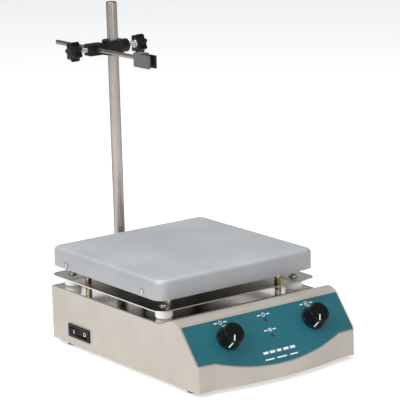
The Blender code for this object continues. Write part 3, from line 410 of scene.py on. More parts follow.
class Paint:
    """A material in the making: a Principled shader and the nodes that feed it."""

    def __init__(self, name, **fixed):
        self.material = bpy.data.materials.new(name)
        self.material.use_nodes = True
        self.tree = self.material.node_tree
        self.shader = self.tree.nodes["Principled BSDF"]
        for socket, value in fixed.items():
            self.feed(socket.replace("_", " "), value)

    def node(self, kind, settings=None, sockets=None, output=0):
        """Add a node: its settings first, with a ramp's stops among them, then its sockets."""
        made = self.tree.nodes.new(kind)
        for key, value in (settings or {}).items():
            if key == "stops":
                for element, (place, level) in zip(made.color_ramp.elements, value):
                    element.position = place
                    element.color = (level, level, level, 1)
            else:
                setattr(made, key, value)
        for key, value in (sockets or {}).items():
            self.link(made.inputs[key], value)
        return Wire(self, made.outputs[output])

    def link(self, socket, value):
        """Join a wire to a socket, or set the socket to a value or a colour."""
        if isinstance(value, Wire):
            self.tree.links.new(value.socket, socket)
        elif hasattr(value, "__len__") and socket.type == "RGBA":
            socket.default_value = (*value, 1)
        else:
            socket.default_value = value

    def feed(self, socket, value):
        """Link or set one of the shader's own sockets."""
        self.link(self.shader.inputs[socket], value)

    def coordinates(self, stretch=(1, 1, 1), turn=(0, 0, 0)):
        """Object coordinates, stretched and turned."""
        spot = self.node("ShaderNodeTexCoord", output=3)
        return self.node("ShaderNodeMapping", {"vector_type": "POINT"},
                         {"Vector": spot, "Rotation": turn, "Scale": stretch})

    def noise(self, scale, detail=3, stretch=(1, 1, 1), rough=0.5, turn=(0, 0, 0)):
        """Grey noise with about scale / 1000 grains to a millimetre."""
        return self.node("ShaderNodeTexNoise", None, {
            "Vector": self.coordinates(stretch, turn), "Scale": scale, "Detail": detail,
            "Roughness": rough})

    def ramp(self, wire, low, high):
        """0 below low, 1 above high."""
        return self.node("ShaderNodeValToRGB", {"stops": [(low, 0), (high, 1)]}, {"Fac": wire})

    def blend(self, share, first, second):
        """First colour where the share is 0, second where it is 1."""
        return self.node("ShaderNodeMix", {"data_type": "RGBA"}, {0: share, 6: first, 7: second}, 2)

    def dimmed(self, colour_wire, factor):
        """A colour times a grey."""
        return self.node("ShaderNodeVectorMath", {"operation": "SCALE"},
                         {"Vector": colour_wire, "Scale": factor})

    def bump(self, height, depth, strength):
        """A normal from a height, whose full depth is in millimetres."""
        self.feed("Normal", self.node("ShaderNodeBump", None, {
            "Height": height, "Distance": depth * MM, "Strength": strength}))

    def done(self, base, rough, height, depth, strength):
        """Feed the colour, the roughness and the bump, and give the material."""
        self.feed("Base Color", base)
        self.feed("Roughness", rough)
        self.bump(height, depth, strength)
        return self.material


def tint(value, factor):
    """A colour times a factor, held at 1."""
    return tuple(min(1.0, channel * factor) for channel in value)


# ---- finishes ----
def painted(name, base, rough, grain, spread=0.06, shine=0.5):
    """Sprayed paint: fine orange peel, a cloudy tone and a few darker specks."""
    paint = Paint(name, Specular_IOR_Level=shine)
    peel = paint.noise(grain, 4)
    cloud = paint.noise(22, 3)
    specks = paint.ramp(paint.noise(grain * 1.7, 2, rough=0.7), 0.66, 0.74)
    tone = paint.blend(paint.ramp(cloud, 0.35, 0.65), tint(base, 1 - spread),
                       tint(base, 1 + spread))
    return paint.done(paint.blend(specks * 0.35, tone, tint(base, 0.72)),
                      rough + 0.10 * paint.ramp(cloud, 0.3, 0.7) + 0.05 * peel, peel, 0.05, 0.55)


def moulded(name, base, rough, shine):
    """Moulded plastic: a faint flow pattern in its polish, fine grain and specks of dust."""
    paint = Paint(name, Specular_IOR_Level=shine)
    flow = paint.noise(55, 3)
    fine = paint.noise(1400, 2)
    dust = paint.ramp(paint.noise(2600, 1, rough=0.8), 0.70, 0.78)
    return paint.done(paint.blend(dust * 0.35, base, tuple(c * 0.8 + 0.03 for c in base)),
                      rough + 0.10 * paint.ramp(flow, 0.35, 0.7) + 0.04 * fine, fine, 0.012, 0.5)


def brushed(name, base, rough, stretch, depth=0.01, stain=0.06, rim=(1, 1, 1)):
    """Ground metal: long fine lines one way and a faint cloud of handling marks. The rim is the
    tint that the surface takes where it turns away."""
    paint = Paint(name, Metallic=1.0, Specular_Tint=rim)
    lines = paint.noise(1300, 3, stretch, rough=0.65)
    cloud = paint.noise(35, 3)
    tone = paint.blend(paint.ramp(cloud, 0.35, 0.65), tint(base, 1 - stain),
                       tint(base, 1 + stain))
    worn = paint.ramp(lines, 0.35, 0.75) * 0.30
    return paint.done(paint.blend(worn, tone, tint(base, 0.72)),
                      rough + 0.12 * paint.ramp(lines, 0.3, 0.75) + 0.06 * cloud, lines, depth, 0.6)


def cast_plate(name, base):
    """Satin silver finish over die casting: fine pebbled grain, soft clouds and a few fine
    scratches, with painted shade that darkens the sides below the rim against the top."""
    paint = Paint(name, Metallic=0.35)
    grain = paint.noise(950, 4, rough=0.6)
    cloud = paint.noise(16, 4)
    wear = paint.ramp(paint.noise(900, 2, (1, 0.12, 1), turn=(0, 0, 0.5)), 0.70, 0.76)
    tone = paint.blend(paint.ramp(cloud, 0.35, 0.68), tint(base, 0.93), tint(base, 1.08))
    tone = paint.blend(paint.ramp(grain, 0.4, 0.7) * 0.35, tone, tint(base, 0.80))
    # painted shade: below the rim's height the tone is dimmed to 0.63 of itself, so the sides read
    # darker than the top
    decimetres = paint.coordinates((10, 10, 10))
    height = paint.node("ShaderNodeSeparateXYZ", None, {"Vector": decimetres}, 2)
    unshaded_top = paint.ramp(height, 0.86, 0.896)
    tone = paint.blend(unshaded_top, paint.dimmed(tone, 0.63), tone)
    return paint.done(paint.blend(wear * 0.2, tone, tint(base, 1.25)),
                      0.40 + 0.12 * cloud + 0.10 * grain - 0.06 * wear, grain + 0.15 * wear, 0.03, 0.55)


def polished_sheet(name, base):
    """Mirror-polished stainless sheet: very fine lines, wiped smears and slight waviness."""
    paint = Paint(name, Metallic=1.0)
    lines = paint.noise(1100, 2, (0.05, 1, 1), rough=0.6)
    smear = paint.noise(28, 4, (1, 0.35, 1), rough=0.6)
    wave = paint.noise(26, 2)
    wiped = paint.ramp(smear, 0.35, 0.75) * 0.5
    return paint.done(paint.blend(wiped, base, tint(base, 0.84)),
                      0.07 + 0.10 * paint.ramp(smear, 0.4, 0.75) + 0.03 * lines,
                      wave + 0.02 * lines, 0.12, 0.35)


def printed_film(name, base):
    """Screen-printed polyester film: fine leathery grain under a clear satin face."""
    paint = Paint(name, Coat_Roughness=0.2)
    grain = paint.noise(1500, 3, rough=0.6)
    cloud = paint.noise(18, 2)
    tone = paint.blend(paint.ramp(cloud, 0.35, 0.65), tint(base, 0.92), tint(base, 1.10))
    raised = paint.ramp(grain, 0.45, 0.65) * 0.3
    paint.feed("Base Color", paint.blend(raised, tone, tint(base, 1.3)))
    paint.feed("Coat Weight", 0.25)
    paint.feed("Roughness", 0.36 + 0.12 * grain + 0.05 * cloud)
    paint.bump(grain, 0.015, 0.6)
    return paint.material


def ceramic(name, base):
    """Unglazed white ceramic: chalky grain with small pits, and a painted glow of its own colour that
    lifts it out of shade.
    """
    # painted light: the spacer glows faintly in its own colour though it is no lamp
    paint = Paint(name, Emission_Strength=0.12)
    paint.feed("Emission Color", base)
    grain = paint.noise(1200, 4, rough=0.65)
    pits = paint.ramp(paint.noise(900, 2), 0.62, 0.72)
    return paint.done(paint.blend(pits * 0.4, base, tint(base, 0.82)),
                      0.40 + 0.2 * grain, grain - 0.6 * pits, 0.03, 0.5)


def rubber(name, base):
    """Moulded rubber: dull, with a bloom of pale dust."""
    paint = Paint(name)
    grain = paint.noise(1500, 3, rough=0.7)
    bloom = paint.ramp(paint.noise(60, 4), 0.45, 0.75)
    return paint.done(paint.blend(bloom * 0.5, base, tuple(c + 0.03 for c in base)),
                      0.70 + 0.2 * grain, grain, 0.05, 0.6)


def lamp_lens(name, base):
    """Tinted moulding: a mottled tone below a glossy face."""
    paint = Paint(name, Roughness=0.12, IOR=1.49)
    glow = paint.noise(420, 2)
    paint.feed("Base Color", paint.blend(paint.ramp(glow, 0.35, 0.65), base, tint(base, 1.6)))
    paint.feed("Coat Weight", 0.6)
    paint.bump(glow, 0.05, 0.4)
    return paint.material


def board(name, base):
    """Solder mask over copper: straight tracks a shade lighter than the mask between them."""
    paint = Paint(name)
    tracks = paint.ramp(paint.noise(160, 1, (1, 1, 0.12)), 0.5, 0.53)
    grain = paint.noise(1400, 2)
    return paint.done(paint.blend(tracks, base, tint(base, 1.7)),
                      0.35 + 0.15 * grain, tracks + 0.1 * grain, 0.04, 0.6)


def layered(name, base, scale, stretch):
    """Laminate or woven sleeve: crossed threads, light over dark."""
    paint = Paint(name)
    warp = paint.ramp(paint.noise(scale, 2, stretch), 0.4, 0.6)
    weft = paint.ramp(paint.noise(scale, 2, stretch[::-1]), 0.4, 0.6)
    return paint.done(paint.blend(warp * weft, tint(base, 0.75), tint(base, 1.15)),
                      0.55 + 0.25 * warp, warp + weft, 0.05, 0.7)


def studio_floor(name, base):
    """Pale seamless board with a barely seen tooth and a faint glow."""
    paint = Paint(name, Emission_Strength=0.42)
    paint.feed("Emission Color", (1.0, 1.0, 1.0))
    tooth = paint.noise(300, 3)
    paint.feed("Base Color", paint.blend(paint.ramp(tooth, 0.3, 0.7), tint(base, 0.99), base))
    paint.feed("Roughness", 0.75 + 0.1 * tooth)
    return paint.material


def finishes():
    """Each finish's maker, by the name of its slot."""
    tone = colours()
    return {
        "cream_paint": lambda n: painted(n, tone.housing, 0.38, 700),
        "teal_film": lambda n: printed_film(n, tone.film),
        "print_ink": lambda n: painted(n, tone.print_ink, 0.45, 1500, 0.03),
        "cast_aluminium": lambda n: cast_plate(n, tone.plate),
        "mirror_steel": lambda n: polished_sheet(n, tone.sheet),
        "steel": lambda n: brushed(n, tone.steel, 0.20, (1, 1, 0.04), rim=DARK_RIM),
        "cross_steel": lambda n: brushed(n, tone.steel, 0.22, (1, 0.04, 1), rim=DARK_RIM),
        "turned_steel": lambda n: brushed(n, tint(tone.sheet, 0.8), 0.20, (0.5, 0.5, 1), 0.02),
        "brass": lambda n: brushed(n, tone.brass, 0.24, (0.15, 0.15, 1)),
        "white_ceramic": lambda n: ceramic(n, tone.spacer),
        "black_plastic": lambda n: moulded(n, tone.knob, 0.20, shine=0.13),
        "black_paint": lambda n: painted(n, tone.casting, 0.42, 900, 0.2, shine=0.2),
        "rubber": lambda n: rubber(n, (0.018, 0.018, 0.018)),
        "red_lens": lambda n: lamp_lens(n, tone.lens),
        "board_green": lambda n: board(n, (0.012, 0.11, 0.045)),
        "zinc_plate": lambda n: brushed(n, (0.50, 0.48, 0.42), 0.32, (1, 0.2, 1), stain=0.12),
        "magnet": lambda n: brushed(n, (0.12, 0.12, 0.13), 0.45, (1, 1, 0.3), stain=0.1),
        "mica": lambda n: layered(n, (0.50, 0.42, 0.30), 500, (1, 0.1, 0.5)),
        "glass_sleeve": lambda n: layered(n, (0.70, 0.68, 0.62), 1500, (1, 1, 0.2)),
        "grey_metal": lambda n: painted(n, (0.095, 0.095, 0.088), 0.40, 900, 0.15, shine=0.35),
        "floor": lambda n: studio_floor(n, tone.floor),
    }


def finish(name):
    """The finish of that name, made the first time it is asked for."""
    title = name + "_finish"
    return bpy.data.materials.get(title) or finishes()[name](title)


# ---- housing ----
def make_housing():
    """The housing's copy with eased edges, and its four rubber feet, each swept from a profile with a
    groove round its tread."""
    eased_copy("housing_skin", "housing_shell", sizes().housing_edge, segments=4, limit=11,
               sharp=11)
    for k in CORNER_NAMES:
        low, high, centre = span(f"foot_{k}")
        height = (high[2] - low[2]) / MM
        line = arc_line((0, 0), (FOOT_TREAD, 0), (5.4, 0.5, 0.2), (6.1, 0, 0.2), (6.5, 0, 0.3),
                        (7.1, 1.6, 0.3), (7.4, 1.5, 0.1), (FOOT_RADIUS, height - 1.2, 0.4),
                        (FOOT_RADIUS, height), (0, height), steps=3)
        make(f"rubber_foot_{k}", skin(stand_at(lathe(line), (*centre[:2], low[2]))),
             "stirrer", "rubber", (f"foot_{k}",))


# ---- sheets, spacers and pillars ----
def cross_head(radius, height, shank, shank_length, steps=72, ways=22):
    """Pan head with a cross recess: the dome's height is H (1 - s^4)^(1/2) at share s of the
    radius, less a smooth-edged cross; the shank runs straight down from it."""
    half_slot, slot_edge = 0.10, 0.06
    slot_reach, reach_edge = 0.52, 0.08
    slot_depth = 0.62
    share = np.linspace(1, 0, ways)[:, None] ** 0.8
    angle = np.linspace(0, math.tau, steps, endpoint=False)[None, :]
    x = share * np.cos(angle)
    y = share * np.sin(angle)
    arm = 1 - np.clip((np.minimum(abs(x), abs(y)) - half_slot) / slot_edge, 0, 1)
    within = 1 - np.clip((share - slot_reach) / reach_edge, 0, 1)
    z = height * (np.sqrt(1 - share ** 4) - slot_depth * arm * within)
    head = np.stack([x * radius, y * radius, z], -1)
    below = lathe(np.array([(shank, -shank_length), (shank, 0.0), (radius, 0.0)]), steps)
    return np.concatenate([below, head])


def spacer_surface(k):
    """A bored spacer: its outer edges are arcs, the upper one the larger."""
    low, high, centre = span(f"spacer_{k}")
    radius = (high[0] - low[0]) / 2 / MM
    height = (high[2] - low[2]) / MM
    line = arc_line((SPACER_BORE, height), (SPACER_BORE, 0), (radius, 0, 2.4),
                    (radius, height, 3.4), (SPACER_BORE, height))
    return skin(stand_at(lathe(line[:-1]), (*centre[:2], low[2])), loop=True)


def shield_screw_surface(k):
    """A pan-headed screw standing on the reflector, over a plain washer."""
    low, high, centre = span(f"reflector_screw_{k}")
    deck = span("reflector")[1][2]
    seat = (*centre[:2], deck)
    head = cross_head(3.5 * MM, high[2] - deck, 2 * MM, deck - low[2])
    washer = lathe(arc_line((2.1, 0), (4.6, 0, 0.15), (4.6, 0.5, 0.2), (2.1, 0.5), steps=3))
    return joined(skin(stand_at(head, seat)), skin(stand_at(washer, seat), loop=True))


def turning(angle, height):
    """Tool marks on a pillar: shallow steps where the sine of nine times the height is high."""
    return 0.05 * MM * (np.sin(height / MM * 9) > 0.6) + 0 * angle


def pillar_surface(k):
    """A turned pillar: thick between the cover and the plate's pan, with a thin neck at each end."""
    low, high, centre = span(f"pillar_{k}")
    foot = (span("top_cover")[1][2] - low[2]) / MM
    neck = (span("plate_pan")[0][2] - low[2]) / MM - 0.3
    end = (high[2] - low[2]) / MM
    line = arc_line((0, 0), (PILLAR_NECK, 0), (PILLAR_NECK, foot), (PILLAR_RADIUS, foot, 0.35),
                    (PILLAR_RADIUS, neck, 0.35), (PILLAR_NECK, neck), (PILLAR_NECK, end, 0.3),
                    (0, end), steps=3)
    return skin(stand_at(lathe(line, 40, turning), (*centre[:2], low[2])))


def make_shield():
    """Bright cover and reflector, white spacers, brass pillars, and the reflector's screws."""
    eased_copy("cover_sheet", "top_cover", sizes().sheet_edge, segments=2)
    eased_copy("reflector_sheet", "reflector", sizes().sheet_edge, segments=2)
    for k in CORNER_NAMES:
        make(f"white_spacer_{k}", spacer_surface(k), "stirrer", "white_ceramic",
             (f"spacer_{k}",))
        make(f"shield_screw_{k}", shield_screw_surface(k), "stirrer", "turned_steel",
             (f"reflector_screw_{k}",))
        make(f"brass_pillar_{k}", pillar_surface(k), "stirrer", "brass",
             (f"pillar_{k}",))


# ---- work plate ----
def make_plate():
    """Cast work plate, hollow below, and the four screws in its sides. The rim is a quarter circle:
    inset R (1 - cos a) at height H - R + R sin a."""
    low, high, centre = span("work_plate")
    half = (high - low)[:2] / 2
    height = high[2] - low[2]
    rim = sizes().plate_rim
    wall = PLATE_WALL * MM
    ceiling = height - PLATE_DECK * MM
    angle = np.linspace(0, math.pi / 2, 11)
    line = np.concatenate([
        [(wall, ceiling), (wall, 0.4 * MM), (wall - 0.4 * MM, 0), (0.5 * MM, 0),
         (0.15 * MM, 0.15 * MM), (0, 0.5 * MM)],
        np.stack([rim * (1 - np.cos(angle)), height - rim + rim * np.sin(angle)], -1),
    ])
    rings = slab_rings(*half, PLATE_CORNER * MM, line)
    make("cast_plate", skin(stand_at(rings, (*centre[:2], low[2]))),
         "stirrer", "cast_aluminium", ("work_plate",))
    for k in CORNER_NAMES:
        centre = span(f"plate_screw_{k}")[2]
        side = math.copysign(1, centre[0])
        seat = (side * (half[0] + 0.3 * MM), centre[1], centre[2])
        head = cross_head(2.8 * MM, 1.5 * MM, 1.5 * MM, 8 * MM, 56, 18)
        place = stand_at(head, seat, turn_to((side, 0, 0), (0, 1, 0)))
        make(f"side_screw_{k}", skin(place), "stirrer", "turned_steel",
             (f"plate_screw_{k}",))


# ---- panel ----
def panel_turn():
    """The panel's own axes: X across, Y up the slope, Z out of it."""
    return turn_to(-Vector(joint("speed_dial_turn")["axis"]))


def panel_point(across, down, out=0.0):
    """Points on the panel from arrays in millimetres: across from the middle, down from the line
    through both dials, and out from that line."""
    base = np.array(joint("speed_dial_turn")["pos_m"]) * (0, 1, 1)
    turn = np.array(panel_turn())
    parts = (np.asarray(across, float), -np.asarray(down, float), out)
    return base + (np.stack(np.broadcast_arrays(*parts), -1) * MM) @ turn.T


def printed(path, width):
    """A printed line: a thin band along (across, down) points, square to them in the panel."""
    path = np.array(path, float)
    along = np.gradient(path, axis=0)
    along /= np.linalg.norm(along, axis=1)[:, None]
    normal = np.stack([-along[:, 1], along[:, 0]], -1)
    middle = panel_point(*path.T, FILM_FACE)
    side = (panel_point(*(path + normal).T, FILM_FACE) - middle) / MM
    return tape(middle, side, np.array(panel_turn())[:, 2], width, MARK_RISE * MM)


def arc(centre, radius, start, end, steps=24):
    """Points on a circle, angles in degrees clockwise from straight up the panel."""
    angle = np.radians(np.linspace(start, end, steps))
    return np.stack([centre[0] + radius * np.sin(angle), centre[1] - radius * np.cos(angle)], -1)


def dial_scale(x):
    """Three arcs round a dial that start later the further out they are, so they make a wedge."""
    return [printed(arc((x, 0), 12.0 + 0.45 * k, 12 * k - 4, 66, 20), 0.5 * MM) for k in range(3)]


def heat_sign(spot, half, height, pitch, width):
    """Three sine waves one above another: down = height sin(2.4 x)."""
    across = np.linspace(-half, half, 24)
    wave = height * np.sin(across * 2.4)
    return [printed(np.stack([spot[0] + across, spot[1] + pitch * k + wave], -1), width)
            for k in (-1, 0, 1)]


def make_panel():
    """The film's copy with eased edges, its printed marks and the two lamps."""
    eased_copy("panel_film", "panel_overlay", 0.12 * MM, segments=2)
    width = sizes().print_width
    origin = np.array(joint("speed_dial_turn")["pos_m"])
    speed = origin[0] / MM
    heat = joint("heat_dial_turn")["pos_m"][0] / MM
    up = np.array(panel_turn())[:, 1]
    lamps = ("power_led", "heat_led")
    down = [float((origin - span(name)[2]) @ up) / MM for name in lamps]
    stir_spot = (speed - 0.6, -15.4)
    heat_spot = (heat, -14.6)
    power_spot = (0, down[0] - 5.0)
    warm_spot = (0, down[1] - 5.4)

    marks = dial_scale(speed) + dial_scale(heat)
    marks.append(printed(arc(stir_spot, 1.5, 30, 320), width))
    marks.append(printed([(stir_spot[0] - 0.5, stir_spot[1] - 2.0),
                          (stir_spot[0] + 0.6, stir_spot[1] - 1.2)], width))
    marks += heat_sign(heat_spot, 2.0, 0.4, 1.3, width * 0.8)
    marks.append(printed(arc(power_spot, 1.5, 35, 325), width * 0.9))
    marks.append(printed([(0, power_spot[1] - 2.1), (0, power_spot[1] - 0.3)], width * 0.9))
    marks += heat_sign(warm_spot, 1.9, 0.35, 1.1, width * 0.8)
    dash = 3.4
    for (x, level), gap in ((stir_spot, 3.4), (heat_spot, 3.6), (power_spot, 3.2),
                            (warm_spot, 3.0)):
        for side in (-1, 1):
            start = x + side * gap
            marks.append(printed([(start, level), (start + side * dash, level)], width * 1.8))
    for count, pitch, level, tall in ((5, 7.2, 20.4, 2.2), (3, 13.0, 26.6, 1.1)):
        for k in range(count):
            x = (k - (count - 1) / 2) * pitch
            half = pitch * (0.36 + 0.05 * math.sin(2.3 * k))
            marks.append(printed([(x - half, level), (x + half, level)], tall * MM))
    make("panel_print", joined(*marks), "stirrer", "print_ink")

    line = arc_line((0, -4), (1.9, -4), (1.9, -2.4), (1.5, -2.4), (1.5, 0.5, 0.1),
                    (1.25, 0.95, 0.3), (0.8, 1.2, 0.5), (0, 1.3), steps=4)
    for name, level in zip(lamps, down):
        dome = stand_at(lathe(line, 32), panel_point(0, level), panel_turn())
        make(name + "_lens", skin(dome), "stirrer", "red_lens", (name,))


# ---- dials ----
def make_dials():
    """Fluted knobs with a bored underside, a skirt and a shallow dish in the top, each with an inlaid
    pointer that bends over the rim."""
    flutes = sizes().flutes
    depth = sizes().flute_depth
    line = arc_line((0, KNOB_FOOT + 4), (5.2, KNOB_FOOT + 4), (5.2, KNOB_FOOT),
                    (KNOB_BASE, KNOB_FOOT, 0.3), (KNOB_BASE, KNOB_FOOT + 1.7, 0.4),
                    (KNOB_BASE - 0.7, KNOB_FOOT + 2.3, 0.3), (KNOB_CROWN + 0.1, KNOB_TOP, 1.3),
                    (7.6, KNOB_TOP, 0.2), (7.3, KNOB_TOP - 0.25, 0.2), (0, KNOB_TOP - 0.25))

    def fluting(angle, height):
        """Shallow hollows round the side, fading out at the skirt and at the rim."""
        above_skirt = np.clip((height / MM - KNOB_FOOT - 2.6) / 0.8, 0, 1)
        below_rim = np.clip((KNOB_TOP - 1.0 - height / MM) / 0.8, 0, 1)
        return depth * above_skirt * below_rim * (0.5 - 0.5 * np.cos(flutes * angle)) ** 0.7

    path = np.array([(0, 2.8, KNOB_TOP - 0.2), (0, 7.2, KNOB_TOP - 0.2), (0, 7.8, KNOB_TOP + 0.02),
                     (0, 8.4, KNOB_TOP), (0, KNOB_CROWN - 0.15, KNOB_TOP - 0.75),
                     (0, KNOB_CROWN + 0.12, KNOB_TOP - 2),
                     (0, KNOB_BASE - 0.62, KNOB_FOOT + 2.9)]) * MM
    out = np.array([(0, 0, 1), (0, 0, 1), (0, 0, 1), (0, 0.4, 0.9), (0, 0.8, 0.6), (0, 1, 0.1),
                    (0, 1, 0.1)])
    out = out / np.linalg.norm(out, axis=1)[:, None]
    points, faces = tape(path, (1, 0, 0), out, 1.1 * MM, 0.16 * MM)
    turn = panel_turn() @ Matrix.Rotation(DIAL_REST, 3, "Z")
    for word in ("speed", "heat"):
        place = joint(word + "_dial_turn")["pos_m"]
        knob = stand_at(lathe(line, flutes * 6, fluting), place, turn)
        make(word + "_dial_knob", skin(knob), word + "_dial", "black_plastic",
             (word + "_knob",))
        make(word + "_pointer", (stand_at(points, place, turn), faces), word + "_dial",
             "print_ink")


# ---- switch ----
def make_switch():
    """Bezel and dished rocker with its two marks, in the left wall."""
    eased_copy("switch_bezel", "switch_frame", 0.45 * MM)
    eased_copy("switch_key", "switch_rocker", 0.5 * MM, limit=20)
    pivot = np.array(joint("power_rocker_tilt")["pos_m"])
    turn = Matrix.Rotation(math.radians(6), 3, "Z")

    def on_key(y, z):
        """A point on the rocker's face, y and z in millimetres from its pivot: each half rises
        1.1 in its length of 12.9."""
        face = -KEY_FACE - 1.1 * abs(y) / 12.9
        return np.stack(np.broadcast_arrays(face, y, z), -1) * MM

    angle = np.linspace(0, math.tau, 25)
    ring = on_key(-7.5 + 1.5 * np.cos(angle), 1.5 * np.sin(angle))
    spokes = np.stack([0 * angle, np.cos(angle), np.sin(angle)], -1)
    bar = on_key(np.array([7.5, 7.5]), np.array([-1.7, 1.7]))
    points, faces = joined(tape(ring, spokes, (-1, 0, 0), 0.55 * MM, 0.1 * MM),
                           tape(bar, (0, 1, 0), (-1, 0, 0), 0.7 * MM, 0.1 * MM))
    make("switch_marks", (stand_at(points, pivot, turn), faces), "power_rocker",
         "print_ink")


# ---- rod and its bracket ----
def thread_wave(angle, height, pitch):
    """0 at a thread's crest and 1 at its root: a triangle wave of height / pitch less the turn."""
    phase = height / pitch - angle / math.tau
    return 2 * abs(phase - np.floor(phase) - 0.5)


def make_stand():
    """Support rod with a rounded end and a threaded foot, its bracket and its nut."""
    low, high, centre = span("support_rod")
    long = (high[2] - low[2]) / MM
    line = arc_line((0, 0), (ROD_THREAD, 0, 0.5), (ROD_THREAD, ROD_FOOT),
                    (ROD_RADIUS, ROD_FOOT, 0.3), (ROD_RADIUS, long - 0.2, 0.9), (3.2, long, 1.0),
                    (0, long), steps=5)

    def thread(angle, height):
        """A V thread on the foot, which stops short of both its ends."""
        on_foot = (height < (ROD_FOOT - 0.4) * MM) * (height > 0.6 * MM)
        return 0.5 * MM * thread_wave(angle, height, 1.25 * MM) * on_foot

    rows = np.linspace(0.7, ROD_FOOT - 0.3, 48)
    foot = np.stack([np.full_like(rows, ROD_THREAD), rows], -1) * MM
    cut = int(np.argmax(line[:, 1] > rows[0] * MM))
    line = np.concatenate([line[:cut], foot, line[cut:]])
    make("ground_rod", skin(stand_at(lathe(line, 64, thread), (*centre[:2], low[2]))), "rod",
         "steel", ("support_rod",))
    eased_copy("rod_lug", "rod_bracket", 0.5 * MM)
    eased_copy("lock_nut", "rod_nut", 0.5 * MM, "turned_steel", segments=2)


# ---- boss head ----
def star_rings(lobes, inner, outer, height, dome):
    """Lobed knob: the radius is R + A cos(n a), drawn in by a quarter circle at both rims. The outer
    face is flat to a share of 0.45 and then falls by the square of the share beyond that."""
    angle = np.linspace(0, math.tau, lobes * 16, endpoint=False)[None, :]
    wall = eased(0, height, 1.3 * MM, 6)
    radius = (inner + outer) / 2 + (outer - inner) / 2 * np.cos(lobes * angle) - wall[:, :1]
    share = np.linspace(0.98, 0, 9)[:, None]
    rise = 1 - np.clip(share - 0.45, 0, None) ** 2 / 0.30
    rise[0] = 0
    reach = np.concatenate([radius, radius[-1:] * share])
    level = np.concatenate([wall[:, 1:], height + dome * rise])
    return np.stack([reach * np.cos(angle), reach * np.sin(angle), level + 0 * angle], -1)


def threaded(radius, long, pitch, depth, steps=28):
    """Screw thread: a triangle wave is taken off the radius, and each end is drawn in over one
    pitch."""
    rows = np.arange(0, long, pitch / 7)
    line = np.stack([np.full_like(rows, radius), rows], -1)

    def ripple(angle, height):
        """The wave, and what the ends are drawn in by."""
        start = np.clip(1 - height / pitch, 0, 1)
        end = np.clip(1 - (rows[-1] - height) / pitch, 0, 1)
        return depth * thread_wave(angle, height, pitch) + 0.6 * depth * (start + end)

    return lathe(line, steps, ripple)


def make_clamps():
    """Boss head, its two star knobs and their threaded screws."""
    size = sizes()
    eased_copy("boss_casting", "boss_head", 0.7 * MM)
    for word, side in (("arm", -1), ("rod", 1)):
        body = word + "_clamp"
        turn = turn_to((side, 0, 0), (0, 1, 0))
        low, high, centre = span(word + "_star_knob")
        face = (low[0] if side > 0 else high[0], centre[1], centre[2])
        rings = star_rings(size.lobes, 6.9 * MM, 9.2 * MM, high[0] - low[0] - 0.5 * MM, 0.5 * MM)
        make(word + "_hand_knob", skin(stand_at(rings, face, turn)), body,
             "black_plastic", (word + "_star_knob",), sharp=50)
        low, high, centre = span(word + "_clamp_screw")
        start = (low[0] if side > 0 else high[0], centre[1], centre[2])
        rings = threaded((high[2] - low[2]) / 2, high[0] - low[0], size.thread_pitch,
                         size.thread_depth)
        make(word + "_thread", skin(stand_at(rings, start, turn)), body, "turned_steel",
             (word + "_clamp_screw",), sharp=60)
        collar = lathe(arc_line((0, -1.6), (3.4, -1.6, 0.3), (3.9, 0.2), (0, 0.2), steps=3), 40)
        seat = (face[0], *centre[1:])
        make(word + "_collar", skin(stand_at(collar, seat, turn)), body, "turned_steel")


# ---- arm and holder ----
def make_holder():
    """Thin arm, grey holder block, guide pin and black jaw."""
    for name, node, body, way, look in (("thin_arm", "probe_arm", "arm", 1, "cross_steel"),
                                        ("guide_pin", "jaw_pin", "holder", 0, "turned_steel")):
        low, high, start = span(node)
        start[way] = low[way]
        radius = (high[2] - low[2]) / 2 / MM
        long = (high[way] - low[way]) / MM
        line = arc_line((0, 0), (radius, 0, 0.5), (radius, long, 0.5), (0, long))
        bar = stand_at(lathe(line, 32), start, turn_to(np.eye(3)[way], (0, 0, 1)))
        make(name, skin(bar), body, look, (node,))
    eased_copy("grey_block", "holder_block", 0.35 * MM, segments=2)
    eased_copy("black_jaw", "holder_jaw", 0.25 * MM, segments=2)


# ---- rear fittings ----
def make_rear():
    """Mains inlet, fuse holder and its cap."""
    eased_copy("inlet_moulding", "power_inlet", 0.4 * MM)
    eased_copy("fuse_barrel", "fuse_holder", 0.25 * MM, segments=2)
    eased_copy("fuse_bayonet", "fuse_cap", 0.25 * MM, segments=2)


# ---- internals ----
def finish_internals():
    """Every CAD node takes the finish of its slot."""
    for name, node in frame["nodes"].items():
        node.material_slots[0].material = finish(slot_of(name))


# ---- studio ----
def softbox(name, place, aim, size, power):
    """A rectangular softbox that faces a point."""
    light = bpy.data.lights.new(name, "AREA")
    light.shape = "RECTANGLE"
    light.size, light.size_y = size
    light.energy = power
    lamp = stand(name, light)
    lamp.location = place
    lamp.rotation_euler = (Vector(aim) - Vector(place)).to_track_quat("-Z", "Y").to_euler()


def make_floor():
    """A round floor of rings drawn in to its middle, so that its faces point up."""
    radius = np.linspace(FLOOR_RADIUS, 0, 10)
    line = np.stack([radius, 0 * radius], -1) * MM
    points, faces = skin(lathe(line, 64), caps=False)
    mesh = bpy.data.meshes.new("studio_floor")
    mesh.from_pydata(points.tolist(), [], faces)
    weld(mesh)
    mesh.materials.append(finish("floor"))
    stand("studio_floor", mesh)


def make_camera(studio):
    """A camera that looks towards the stirrer from its turn and rise, and is rolled about its line
    of sight."""
    camera = stand("camera", bpy.data.cameras.new("camera"))
    camera.data.lens = studio.lens
    camera.data.sensor_width = 36
    camera.data.clip_end = 50
    back = Vector((math.sin(studio.turn) * math.cos(studio.rise),
                   -math.cos(studio.turn) * math.cos(studio.rise), math.sin(studio.rise)))
    right = (-back).cross(Vector((0, 0, 1))).normalized()
    up = right.cross(-back)
    side = math.cos(studio.roll) * right + math.sin(studio.roll) * up
    above = math.cos(studio.roll) * up - math.sin(studio.roll) * right
    turn = Matrix((side, above, back)).transposed().to_4x4()
    camera.matrix_world = Matrix.Translation(studio.place) @ turn
    bpy.context.scene.camera = camera


